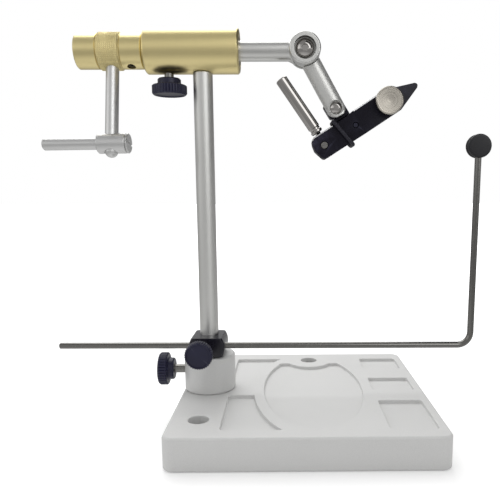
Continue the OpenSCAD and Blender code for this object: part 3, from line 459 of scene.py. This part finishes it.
def worn_and_lit_edge_group():
    """Mask of the outer edges: rubbed wear, and a painted highlight where they catch light."""
    group, inner, outer = new_group(
        "Worn edges and painted sheen",
        [("Vector", "NodeSocketVector", None), ("From", "NodeSocketFloat", 0.52),
         ("To", "NodeSocketFloat", 0.62)],
        [("Mask", "NodeSocketFloat")])
    shape = node(group, "ShaderNodeNewGeometry")
    patchy = node(group, "ShaderNodeTexNoise", Scale=420.0, Detail=4.0)
    group.links.new(inner.outputs["Vector"], patchy.inputs["Vector"])
    edge = spread(group, shape.outputs["Pointiness"], inner.outputs["From"],
                  inner.outputs["To"])
    worn_and_lit = node(group, "ShaderNodeMath", operation="MULTIPLY", use_clamp=True)
    group.links.new(edge, worn_and_lit.inputs[0])
    group.links.new(spread(group, patchy.outputs[0], 0.35, 0.65, 0.3, 1.0), worn_and_lit.inputs[1])
    group.links.new(worn_and_lit.outputs[0], outer.inputs["Mask"])
    return group


EFFECTS = {}


def effect(tree, name, **values):
    """Places a shared effect in a material, reading the piece's Object coordinates."""
    used = node(tree, "ShaderNodeGroup")
    used.node_tree = EFFECTS[name]
    for key, value in values.items():
        used.inputs[key].default_value = value
    place_on = node(tree, "ShaderNodeTexCoord")
    tree.links.new(place_on.outputs["Object"], used.inputs["Vector"])
    return used


def material(name, metallic, **sockets):
    """A material with one Principled shader: (material, its tree, the shader)."""
    made = bpy.data.materials.new(name)
    made.use_nodes = True
    tree = made.node_tree
    shader = tree.nodes["Principled BSDF"]
    shader.inputs["Metallic"].default_value = metallic
    for key, value in sockets.items():
        shader.inputs[key.replace("_", " ")].default_value = value
    return made, tree, shader


def bump(tree, shader, height, strength, distance):
    """Raises the surface by a height."""
    raised = node(tree, "ShaderNodeBump", Strength=strength, Distance=distance)
    tree.links.new(height, raised.inputs["Height"])
    tree.links.new(raised.outputs[0], shader.inputs["Normal"])


def shade(colour, factor):
    """A colour made darker or lighter."""
    return tuple(min(1.0, c * factor) for c in colour)


def blasted(name, colour, roughness=0.5, metallic=0.0, grain=2600.0):
    """Blasted and coated metal: a fine even grain with a faint cloudiness."""
    made, tree, shader = material(name, metallic)
    grained = effect(tree, "grain", Scale=grain)
    clouds = spread(tree, grained.outputs["Cloud"], *NOISE)
    specks = spread(tree, grained.outputs["Value"], 0.35, 0.65)
    tone = blend_colours(tree, clouds, shade(colour, 0.965), shade(colour, 1.02))
    tone = blend_colours(tree, specks, tone, shade(colour, 1.045))
    tree.links.new(tone, shader.inputs["Base Color"])
    tree.links.new(spread(tree, grained.outputs["Value"], *NOISE, roughness - 0.06,
                          roughness + 0.06), shader.inputs["Roughness"])
    bump(tree, shader, grained.outputs["Value"], 0.16, 0.03 * MM)
    return made


def machined(name, colour, streaks, roughness=0.32, depth=0.1, contrast=0.08, edge=0.35):
    """Satin machined metal with tool marks, and edges made brighter by wear and a painted
    highlight.
    """
    made, tree, shader = material(name, 1.0)
    marks = effect(tree, "marks", Scale=streaks)
    grained = effect(tree, "grain", Scale=1500.0)
    wear_and_sheen = effect(tree, "edges")
    tone = blend_colours(tree, spread(tree, marks.outputs["Value"], *NOISE),
                         shade(colour, 1 - contrast), shade(colour, 1 + contrast / 2))
    tone = blend_colours(tree, spread(tree, grained.outputs["Cloud"], *NOISE), tone,
                         shade(colour, 1 + contrast / 3))
    # Brighter edges: part wear, part painted highlight
    amount = node(tree, "ShaderNodeMath", operation="MULTIPLY")
    tree.links.new(wear_and_sheen.outputs["Mask"], amount.inputs[0])
    amount.inputs[1].default_value = edge
    tone = blend_colours(tree, amount.outputs[0], tone, shade(colour, 1.3))
    tree.links.new(tone, shader.inputs["Base Color"])
    tree.links.new(spread(tree, marks.outputs["Value"], *NOISE, roughness - 0.05,
                          roughness + 0.07), shader.inputs["Roughness"])
    bump(tree, shader, marks.outputs["Value"], depth, 0.02 * MM)
    return made


def blackened(name, colour, metallic, roughness, worn_and_lit, wear_and_sheen_amount, grain=1900.0, coat=0.0,
              gloss=0.32):
    """Blue black finish: near black with faint grain, and edges made paler by wear and a painted
    highlight.
    """
    made, tree, shader = material(name, metallic)
    shader.inputs["Specular IOR Level"].default_value = gloss
    shader.inputs["Coat Weight"].default_value = coat
    shader.inputs["Coat Roughness"].default_value = 0.25
    grained = effect(tree, "grain", Scale=grain)
    wear_and_sheen = effect(tree, "edges")
    tone = blend_colours(tree, spread(tree, grained.outputs["Cloud"], *NOISE),
                         shade(colour, 0.75), shade(colour, 1.35))
    # Paler edges: part wear, part painted highlight
    amount = node(tree, "ShaderNodeMath", operation="MULTIPLY")
    tree.links.new(wear_and_sheen.outputs["Mask"], amount.inputs[0])
    amount.inputs[1].default_value = wear_and_sheen_amount
    tone = blend_colours(tree, amount.outputs[0], tone, worn_and_lit)
    tree.links.new(tone, shader.inputs["Base Color"])
    tree.links.new(spread(tree, grained.outputs["Value"], *NOISE, roughness - 0.07,
                          roughness + 0.07), shader.inputs["Roughness"])
    bump(tree, shader, grained.outputs["Value"], 0.12, 0.02 * MM)
    return made


def ringed(name, colour, centre, across, roughness=0.28):
    """Face turned on a lathe, with fine rings round its centre."""
    made, tree, shader = material(name, 1.0)
    rings = effect(tree, "rings", Centre=centre, Across=across, Rings=1500.0)
    grained = effect(tree, "grain", Scale=900.0)
    tone = blend_colours(tree, spread(tree, rings.outputs["Value"], *NOISE),
                         shade(colour, 0.9), shade(colour, 1.06))
    tone = blend_colours(tree, spread(tree, grained.outputs["Cloud"], 0.4, 0.7), tone,
                         shade(colour, 0.95))
    tree.links.new(tone, shader.inputs["Base Color"])
    tree.links.new(spread(tree, rings.outputs["Value"], *NOISE, roughness - 0.06,
                          roughness + 0.1), shader.inputs["Roughness"])
    bump(tree, shader, rings.outputs["Value"], 0.025, 0.02 * MM)
    return made


FINISH = {}


def make_finishes():
    """Builds the shared effects and every finish once."""
    if FINISH:
        return
    c = bpy.context.scene.vise_colours
    EFFECTS.update(grain=grain_group(), marks=streak_group(), rings=ring_group(),
                   edges=worn_and_lit_edge_group())
    # Scales of tool marks that run round the upright axis, round the level axis, and of even ones
    round_z, round_x = (160.0, 160.0, 9000.0), (9000.0, 160.0, 160.0)
    even = (900.0, 900.0, 900.0)
    FINISH.update(
        base=blasted("Blasted grey", tuple(c.base), roughness=0.5),
        collar=blasted("Blasted collar", shade(c.base, 0.97), roughness=0.42, metallic=0.15),
        stem=machined("Ground stem", tuple(c.satin), round_z, roughness=0.42, depth=0.04,
                      contrast=0.03),
        shaft=machined("Ground shaft", tuple(c.satin), round_x, roughness=0.32, depth=0.04,
                       contrast=0.04),
        elbow=blasted("Satin elbow", shade(c.satin, 0.98), roughness=0.42, metallic=0.7,
                      grain=1800.0),
        gold=machined("Gold anodised", tuple(c.gold), (7000.0, 130.0, 130.0), roughness=0.34,
                      depth=0.05, contrast=0.035, edge=0.3),
        knurl=machined("Gold knurl", shade(c.gold, 0.93), even, roughness=0.38, edge=0.6),
        crank=blasted("Crank metal", tuple(c.crank), roughness=0.38, metallic=0.8),
        rod=machined("Drawn rod", tuple(c.rod), (600.0, 600.0, 600.0), roughness=0.22,
                     depth=0.01, contrast=0.03, edge=0.0),
        zinc=machined("Screw steel", shade(c.rod, 1.15), even, roughness=0.3),
        bright=machined("Polished steel", tuple(c.bright), (300.0, 300.0, 300.0),
                        roughness=0.07, depth=0.01, contrast=0.06, edge=0.0),
        # Pale metal for the front jaw's upper bevel: a painted highlight of light from above
        line=blasted("Painted jaw edge highlight", (0.86, 0.86, 0.87), roughness=0.3, metallic=0.3),
        dark=blackened("Blackened screw", (0.05, 0.05, 0.055), 0.9, 0.35, (0.3, 0.3, 0.3), 0.4),
        jaw=blackened("Blued jaw", tuple(c.jaw), 0.0, 0.3, (0.07, 0.07, 0.11), 0.4,
                      gloss=0.15),
        clamp=blackened("Black anodised", shade(c.jaw, 1.2), 0.0, 0.3, (0.2, 0.2, 0.24), 0.5,
                        coat=0.2),
        knob=blackened("Moulded knob", tuple(c.knob), 0.0, 0.36, (0.09, 0.1, 0.13), 0.35,
                       grain=1400.0, gloss=0.32),
        rest=blackened("Moulded wheel", (0.012, 0.012, 0.014), 0.0, 0.38, (0.1, 0.1, 0.11), 0.4),
        ring=blackened("Rubber ring", (0.016, 0.0155, 0.024), 0.0, 0.6, (0.05, 0.05, 0.06),
                       0.3),
        nickel=ringed("Turned nickel", tuple(c.nickel), tuple(ADJUST), (1.0, 0.0, 1.0)),
        bush=machined("Bushing", (0.5, 0.42, 0.26), round_x, roughness=0.35),
        nylon=blackened("White nylon", (0.75, 0.75, 0.71), 0.0, 0.4, (0.8, 0.8, 0.78), 0.2),
    )


def finish_nodes(**finishes):
    """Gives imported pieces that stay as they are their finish."""
    for name, key in finishes.items():
        piece = frame["nodes"][name]
        piece.data.materials.clear()
        piece.data.materials.append(FINISH[key])


# One operator for each group of pieces


class PieceOperator:
    """Shared settings of the operators."""

    bl_options = {"REGISTER", "UNDO"}

    def sizes(self):
        """The sizes of the details, with the finishes ready."""
        make_finishes()
        return bpy.context.scene.vise_sizes


class VISE_OT_base(PieceOperator, bpy.types.Operator):
    """Base plate with its pockets, the stem collar and the stud that holds it"""

    bl_idname = "vise.base"
    bl_label = "Base and collar"

    def execute(self, context):
        s = self.sizes()
        softened("base", "base_plate", s.base_edge, FINISH["base"], steps=3)
        softened("stem_collar", "collar_body", s.part_edge, FINISH["collar"])
        finish_nodes(post_stud="dark")
        return {"FINISHED"}


class VISE_OT_stem(PieceOperator, bpy.types.Operator):
    """Upright stem and the hidden stud in its top"""

    bl_idname = "vise.stem"
    bl_label = "Stem"

    def execute(self, context):
        s = self.sizes()
        softened("stem", "stem_post", s.part_edge, FINISH["stem"])
        finish_nodes(stem_stud="zinc")
        return {"FINISHED"}


class VISE_OT_housing(PieceOperator, bpy.types.Operator):
    """Gold housing with its bushings, pad and washer"""

    bl_idname = "vise.housing"
    bl_label = "Housing"

    def execute(self, context):
        s = self.sizes()
        softened("housing", "housing_tube", s.part_edge, FINISH["gold"])
        finish_nodes(shaft_bushings="bush", tension_pad="nylon", thrust_washer="nylon")
        return {"FINISHED"}


class VISE_OT_hub(PieceOperator, bpy.types.Operator):
    """Gold hub with its knurled band and set screw"""

    bl_idname = "vise.hub"
    bl_label = "Hub"

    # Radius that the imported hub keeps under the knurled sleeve
    core = 8.35 * MM

    def execute(self, context):
        s = self.sizes()
        softened("hub", "hub_body", s.small_edge, FINISH["gold"], sink=self.sink_band)
        finish_nodes(hub_set_screw="dark")
        self.knurled_band(s)
        return {"FINISHED"}

    def sink_band(self, bm):
        """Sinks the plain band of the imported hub, to make room for the knurled sleeve."""
        for v in bm.verts:
            r = math.hypot(v.co.y, v.co.z - SHAFT_Z)
            if r > self.core:
                v.co.y *= self.core / r
                v.co.z = SHAFT_Z + (v.co.z - SHAFT_Z) * self.core / r

    def knurled_band(self, s):
        """Sleeve with a diamond knurl over the middle of the hub."""
        left, right = -49.9 * MM, -38.4 * MM
        low, top, edge = 8.0 * MM, 8.88 * MM, 0.85 * MM
        length = right - left
        facet, steepness = 0.24 * MM, 3.0
        profile = [(0, low, 0), (0, top - edge, 0), (edge, top, 0), (length - edge, top, 0),
                   (length, top - edge, 0), (length, low, 0), (0, low, 0)]
        bm = turned(divided(profile, facet), 5 * s.knurl_count)
        pitch = FULL_TURN * top / s.knurl_count
        for v in bm.verts:
            r = math.hypot(v.co.x, v.co.y)
            if r < top - edge / 2:
                continue
            around = math.atan2(v.co.y, v.co.x) * s.knurl_count / FULL_TURN
            along = v.co.z / pitch
            cuts = min(abs((around + along) % 1 - 0.5), abs((around - along) % 1 - 0.5))
            keep = 1 - s.knurl_depth * (1 - min(1, cuts * steepness)) / r
            v.co.x *= keep
            v.co.y *= keep
        turn = facing((left, 0, SHAFT_Z), (1, 0, 0))
        place(bm, "hub_knurl", "shaft", FINISH["knurl"], turn)


class VISE_OT_crank(PieceOperator, bpy.types.Operator):
    """Crank arm with its tee, clamp screw, handle pin and domed end"""

    bl_idname = "vise.crank"
    bl_label = "Crank"

    def execute(self, context):
        s = self.sizes()
        softened("crank_arm", "crank_stalk", s.part_edge, FINISH["crank"])
        softened("crank_barrel", "crank_tee", s.part_edge, FINISH["crank"])
        softened("barrel_screw", "crank_cap", s.small_edge, FINISH["crank"])
        softened("crank_pin", "crank_handle", s.part_edge, FINISH["crank"],
                 sink=self.shorten)
        finish_nodes(crank_dome="crank")
        return {"FINISHED"}

    def shorten(self, bm):
        """Draws the free end of the handle pin back along its axis."""
        outward = Vector(joint("crank_pin_turn")["axis"]) * -1
        draw_back(bm, outward, 2 * MM, 1.5 * MM)


class VISE_OT_shaft(PieceOperator, bpy.types.Operator):
    """Rotary shaft with its fork, the knuckle screw and the elbow"""

    bl_idname = "vise.shaft"
    bl_label = "Shaft and elbow"

    def execute(self, context):
        s = self.sizes()
        softened("rotary_shaft", "shaft_fork", s.part_edge, FINISH["shaft"])
        softened("elbow_arm", "elbow_link", s.part_edge, FINISH["elbow"],
                 shape=self.round_end)
        softened("knuckle_screw", "knuckle_button", s.small_edge, FINISH["bright"])
        softened("elbow_screw", "elbow_button", s.small_edge, FINISH["bright"])
        softened("knuckle_washer", "knuckle_ring", s.small_edge, FINISH["zinc"])
        return {"FINISHED"}

    def round_end(self, bm):
        """Rounds the elbow's lower end about its screw, with flat cuts all round."""
        pivot = Vector(joint("jaw_tilt")["pos_m"])
        down = (pivot - Vector(joint("knuckle_tilt")["pos_m"])).normalized()
        side = Vector((down.z, 0, -down.x))
        end_r, step = 4.65 * MM, math.radians(10)
        for k in range(-7, 8):
            turn = step * k
            out = down * math.cos(turn) + side * math.sin(turn)
            cut = bmesh.ops.bisect_plane(
                bm, geom=bm.verts[:] + bm.edges[:] + bm.faces[:],
                plane_co=pivot + out * end_r, plane_no=out, clear_outer=True)
            rim = [e for e in cut["geom_cut"] if isinstance(e, bmesh.types.BMEdge)]
            if rim:
                bmesh.ops.holes_fill(bm, edges=rim, sides=0)
        bmesh.ops.recalc_face_normals(bm, faces=bm.faces)


class VISE_OT_knobs(PieceOperator, bpy.types.Operator):
    """The three ribbed thumb knobs and their studs"""

    bl_idname = "vise.knobs"
    bl_label = "Thumb screws"

    def execute(self, context):
        s = self.sizes()
        outwards = {"collar_knob": (-1, 0, 0), "cradle_knob": (0, -1, 0),
                    "tension_knob": (0, 0, -1)}
        for name, outward in outwards.items():
            self.knob(name, Vector(outward), s)
        finish_nodes(collar_stud="zinc", cradle_stud="zinc", tension_stud="zinc")
        return {"FINISHED"}

    def knob(self, name, outward, s):
        """One thumb knob: a narrow foot, a wide ribbed rim and a sunk face."""
        low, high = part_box(name)
        half = (high - low) / 2
        seat = middle(name) - outward * abs(half.dot(outward))
        rim = 8.5
        wide = max(half) / (rim * MM)
        corners = [(0, 2.4, 0), (0, 5.15, 0), (0.55, 5.65, 0.4), (2.7, 5.65, 0.3),
                   (3.1, 6.4, 0.3), (3.1, 7.9, 0.1), (3.5, rim, 0.15), (4.6, rim, 0),
                   (5.9, rim, 0), (7.0, rim, 0.2), (7.8, 7.8, 0.15), (7.8, 7.2, 0.1),
                   (7.3, 6.9, 0.15), (7.3, 0, 0)]
        profile = [(h * MM, r * MM * wide, f * MM) for h, r, f in corners]
        bm = turned(profile, 4 * s.knob_ribs)
        press_ribs(bm, s.knob_ribs, s.knob_rib_depth, (rim - 0.9) * MM * wide,
                   (rim - 0.3) * MM * wide)
        place(bm, name.replace("knob", "thumb_knob"), body_of(name),
              FINISH["knob"], facing(seat, outward), (name,))


class VISE_OT_cradle(PieceOperator, bpy.types.Operator):
    """Cradle clamp, its long bent rod and the grooved thread rest"""

    bl_idname = "vise.cradle"
    bl_label = "Bobbin cradle"

    def execute(self, context):
        s = self.sizes()
        softened("cradle_clamp", "cradle_block", s.part_edge, FINISH["clamp"], steps=3)
        finish_nodes(cradle_rod="rod")
        self.wheel()
        return {"FINISHED"}

    def wheel(self):
        """Grooved wheel on the end of the rod."""
        corners = [(0, 0, 0), (0, 4.6, 0), (0.15, 5.35, 0.4), (0.75, 5.75, 0.5),
                   (1.35, 5.7, 0.4), (2.3, 4.5, 0.8), (3.1, 4.5, 0.8), (4.05, 5.7, 0.4),
                   (4.65, 5.75, 0.5), (5.25, 5.35, 0.4), (5.4, 4.6, 0), (5.4, 0, 0)]
        low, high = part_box("thread_rest")
        profile = [(h * MM, r * MM, f * MM) for h, r, f in corners]
        seat = middle("thread_rest")
        seat.y = high.y
        place(turned(profile, 96), "thread_wheel", "rod", FINISH["rest"],
              facing(seat, (0, -1, 0)), ("thread_rest",))


class VISE_OT_jaws(PieceOperator, bpy.types.Operator):
    """The two jaws with their pins, rubber ring and adjusting knob"""

    bl_idname = "vise.jaws"
    bl_label = "Jaws"

    # Half of the length of the upper edge, in front of the elbow, that gets no painted highlight
    # and stays black
    unhighlighted_half = 6.2 * MM

    def execute(self, context):
        s = self.sizes()
        front = softened("front_jaw", "front_jaw_plate", s.part_edge, FINISH["jaw"],
                         shape=self.painted_highlight_edge)
        # Second slot: the pale painted highlight along the upper edge
        front.data.materials.append(FINISH["line"])
        softened("rear_jaw", "rear_jaw_plate", s.part_edge, FINISH["jaw"])
        finish_nodes(jaw_dowel="jaw", cam_pin="zinc", jaw_ring="ring")
        softened("jaw_screw", "adjusting_screw", s.small_edge, FINISH["zinc"],
                 sink=self.shorten)
        self.adjusting_knob(s)
        return {"FINISHED"}

    def shorten(self, bm):
        """Draws the front end of the adjusting screw back inside its knob."""
        draw_back(bm, Vector((0, -1, 0)), 1 * MM, 0.8 * MM)

    def painted_highlight_edge(self, bm):
        """Rounds the upper edge of the outer face, and paints a highlight along it with a pale
        material.
        """
        up = Vector(joint("front_jaw_rock")["axis"]) * -1
        along = Vector((up.z, 0, -up.x))
        pivot = Vector(joint("jaw_tilt")["pos_m"])
        for side in (-self.unhighlighted_half, self.unhighlighted_half):
            bmesh.ops.bisect_plane(
                bm, geom=bm.verts[:] + bm.edges[:] + bm.faces[:],
                plane_co=pivot + along * side, plane_no=along)
        upper = [e for e in bm.edges if len(e.link_faces) == 2
                 and any(f.normal.y < -0.9 for f in e.link_faces)
                 and any(f.normal.dot(up) > 0.8 for f in e.link_faces)
                 and all((v.co - ADJUST).dot(up) > 3 * MM for v in e.verts)]
        made = bmesh.ops.bevel(
            bm, geom=upper, offset=0.8 * MM, offset_type="OFFSET", segments=5, profile=0.5,
            affect="EDGES", clamp_overlap=False, material=-1)
        # Bevel faces that tilt upward get the pale material: a painted highlight, not bare metal
        for f in made["faces"]:
            beside = abs((f.calc_center_median() - pivot).dot(along)) > self.unhighlighted_half
            if beside and 0.35 < f.normal.dot(up) < 0.72:
                f.material_index = 1

    def adjusting_knob(self, s):
        """Turned knob on the front jaw, with fine ribs and turned rings on a dished face."""
        low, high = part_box("jaw_knob")
        seat = Vector((ADJUST.x, high.y, ADJUST.z))
        far, top = (high.x - low.x) / 2 / MM, (high.y - low.y) / MM
        corners = [(0, 0, 0), (0, 2.8, 0), (0.6, 2.8, 0), (0.6, far - 0.6, 0.1),
                   (1.2, far, 0.3), (2.2, far, 0), (3.1, far, 0), (top - 0.6, far, 0.3),
                   (top, far - 0.65, 0.25)]
        for k in range(s.face_rings, -1, -1):
            r = (far - 0.9) * k / s.face_rings
            dish = 0.3 * (1 - r / far)
            corners.append((top - 0.03 - dish - 0.007 * (k % 2), r, 0.1))
        profile = [(h * MM, r * MM, f * MM) for h, r, f in corners]
        bm = turned(profile, 4 * s.rim_ribs)
        press_ribs(bm, s.rim_ribs, 0.06 * MM, (far - 0.4) * MM, (far - 0.1) * MM)
        place(bm, "adjusting_knob", "jaw_screw", FINISH["nickel"],
              facing(seat, (0, -1, 0)), ("jaw_knob",))


class VISE_OT_cam(PieceOperator, bpy.types.Operator):
    """Cam and its polished lever"""

    bl_idname = "vise.cam"
    bl_label = "Cam lever"

    def execute(self, context):
        s = self.sizes()
        softened("cam_lever", "lever_handle", s.small_edge, FINISH["bright"])
        finish_nodes(cam="dark")
        return {"FINISHED"}


class VISE_OT_stage(bpy.types.Operator):
    """Camera, pale floor, plain white surroundings and two softboxes"""

    bl_idname = "vise.stage"
    bl_label = "Stage"
    bl_options = {"REGISTER", "UNDO"}

    def execute(self, context):
        s = context.scene.vise_stage
        context.scene.view_settings.view_transform = "Standard"
        self.camera(context, s)
        self.surroundings(context, s)
        self.floor(context)
        self.softbox(context, "Top softbox", (-0.1, 0.45, 0.8), 0.8, s.top_light)
        self.softbox(context, "Side softbox", (-0.8, -0.3, 0.5), 0.6, s.side_light)
        return {"FINISHED"}

    def camera(self, context, s):
        """The photograph's camera."""
        data = bpy.data.cameras.new("Camera")
        data.sensor_fit = "HORIZONTAL"
        data.sensor_width = 36
        data.lens = s.lens
        data.shift_x, data.shift_y = s.shift
        data.clip_start, data.clip_end = 0.01, 20
        camera = bpy.data.objects.new("Camera", data)
        forward, up = Vector(s.camera_forward).normalized(), Vector(s.camera_up).normalized()
        right = forward.cross(up)
        turn = Matrix((right, right.cross(forward), -forward)).transposed().to_4x4()
        camera.matrix_world = Matrix.Translation(Vector(s.camera_place)) @ turn
        context.scene.collection.objects.link(camera)
        context.scene.camera = camera

    def surroundings(self, context, s):
        """White for the camera, softer as light, and a shaped room for what metal mirrors."""
        world = bpy.data.worlds.new("Studio")
        context.scene.world = world
        world.use_nodes = True
        tree = world.node_tree
        sky = tree.nodes["Background"]
        sky.inputs["Color"].default_value = (1, 1, 1, 1)
        path = node(tree, "ShaderNodeLightPath")
        where = node(tree, "ShaderNodeTexCoord")
        parts = node(tree, "ShaderNodeSeparateXYZ")
        tree.links.new(where.outputs["Generated"], parts.inputs[0])
        # The mirrored room grows darker upwards, straight in front and behind
        bands = stops(tree, parts.outputs["Z"], (
            (0.0, 0.62), (0.12, 1.0), (0.3, 0.85), (0.5, 0.6), (0.7, 0.42), (1.0, 0.4)))
        x, y, z = parts.outputs
        front = blend(tree, spread(tree, y, -0.98, -0.88), 0.6, 1.0)
        room = blend(tree, spread(tree, y, -0.1, 0.3), multiply(tree, bands, front), 0.5)
        # At its upper right stands one bright strip between dark ones
        strip = blend(tree, spread(tree, y, -0.95, -0.925), 0.12, 2.4)
        strip = blend(tree, spread(tree, y, -0.56, -0.48), strip, 0.07)
        sector = multiply(tree, spread(tree, x, 0.06, 0.16), spread(tree, z, 0.08, 0.18))
        room = blend(tree, sector, room, strip)
        seen = blend(tree, path.outputs["Is Glossy Ray"], s.world_light, room)
        clear = node(tree, "ShaderNodeMath", operation="MAXIMUM")
        tree.links.new(path.outputs["Is Camera Ray"], clear.inputs[0])
        tree.links.new(path.outputs["Is Transmission Ray"], clear.inputs[1])
        tree.links.new(blend(tree, clear.outputs[0], seen, 1.0), sky.inputs["Strength"])

    def floor(self, context):
        """A pale floor that keeps the shadow of the base."""
        bm = bmesh.new()
        bmesh.ops.create_grid(bm, x_segments=1, y_segments=1, size=6)
        mesh = bpy.data.meshes.new("Floor")
        bm.to_mesh(mesh)
        bm.free()
        floor = bpy.data.objects.new("Floor", mesh)
        made, tree, shader = material("Pale floor", 0.0, Roughness=0.9)
        shader.inputs["Base Color"].default_value = (0.88, 0.88, 0.88, 1)
        shader.inputs["Specular IOR Level"].default_value = 0.0
        shader.inputs["Emission Color"].default_value = (1, 1, 1, 1)
        path = node(tree, "ShaderNodeLightPath")
        where = node(tree, "ShaderNodeTexCoord")
        far = node(tree, "ShaderNodeVectorMath", operation="LENGTH")
        tree.links.new(where.outputs["Object"], far.inputs[0])
        # The camera sees the floor fade to white away from the base
        glow = node(tree, "ShaderNodeMath", operation="MULTIPLY")
        tree.links.new(path.outputs["Is Camera Ray"], glow.inputs[0])
        tree.links.new(spread(tree, far.outputs["Value"], 0.2, 0.9, 0.25, 1.0), glow.inputs[1])
        tree.links.new(glow.outputs[0], shader.inputs["Emission Strength"])
        # Metal mirrors it darker the farther it lies
        mirrored = node(tree, "ShaderNodeEmission")
        tree.links.new(spread(tree, far.outputs["Value"], 0.1, 0.35, 0.85, 0.42),
                       mirrored.inputs["Strength"])
        either = node(tree, "ShaderNodeMixShader")
        tree.links.new(path.outputs["Is Glossy Ray"], either.inputs[0])
        tree.links.new(shader.outputs[0], either.inputs[1])
        tree.links.new(mirrored.outputs[0], either.inputs[2])
        tree.links.new(either.outputs[0], tree.nodes["Material Output"].inputs["Surface"])
        mesh.materials.append(made)
        context.scene.collection.objects.link(floor)

    def softbox(self, context, name, where, size, power):
        """A square soft light aimed at the middle of the vise."""
        data = bpy.data.lights.new(name, "AREA")
        data.shape, data.size, data.energy = "SQUARE", size, power
        lamp = bpy.data.objects.new(name, data)
        lamp.location = where
        aim = Vector((0.03, 0, 0.1)) - Vector(where)
        lamp.rotation_euler = aim.to_track_quat("-Z", "Y").to_euler()
        context.scene.collection.objects.link(lamp)


PIECES = (VISE_OT_base, VISE_OT_stem, VISE_OT_housing, VISE_OT_hub, VISE_OT_crank,
          VISE_OT_shaft, VISE_OT_knobs, VISE_OT_cradle, VISE_OT_jaws, VISE_OT_cam,
          VISE_OT_stage)


class VISE_PT_panel(bpy.types.Panel):
    """Lists the operators and their settings"""

    bl_idname = "VISE_PT_panel"
    bl_label = "Fly Tying Vise"
    bl_space_type = "VIEW_3D"
    bl_region_type = "UI"
    bl_category = "Vise"

    def draw(self, context):
        for piece in PIECES:
            self.layout.operator(piece.bl_idname)
        for group in (context.scene.vise_colours, context.scene.vise_sizes,
                      context.scene.vise_stage):
            box = self.layout.box()
            for key in group.__annotations__:
                box.prop(group, key)


SETTINGS = (("vise_colours", ViseColours), ("vise_sizes", ViseSizes), ("vise_stage", ViseStage))


def register():
    for name, group in SETTINGS:
        bpy.utils.register_class(group)
        setattr(bpy.types.Scene, name, bpy.props.PointerProperty(type=group))
    for piece in (*PIECES, VISE_PT_panel):
        bpy.utils.register_class(piece)


def unregister():
    for piece in reversed((*PIECES, VISE_PT_panel)):
        bpy.utils.unregister_class(piece)
    for name, group in reversed(SETTINGS):
        delattr(bpy.types.Scene, name)
        bpy.utils.unregister_class(group)


def main():
    """Builds everything."""
    register()
    for piece in PIECES:
        area, name = piece.bl_idname.split(".")
        getattr(getattr(bpy.ops, area), name)()


if __name__ == "__main__":
    main()
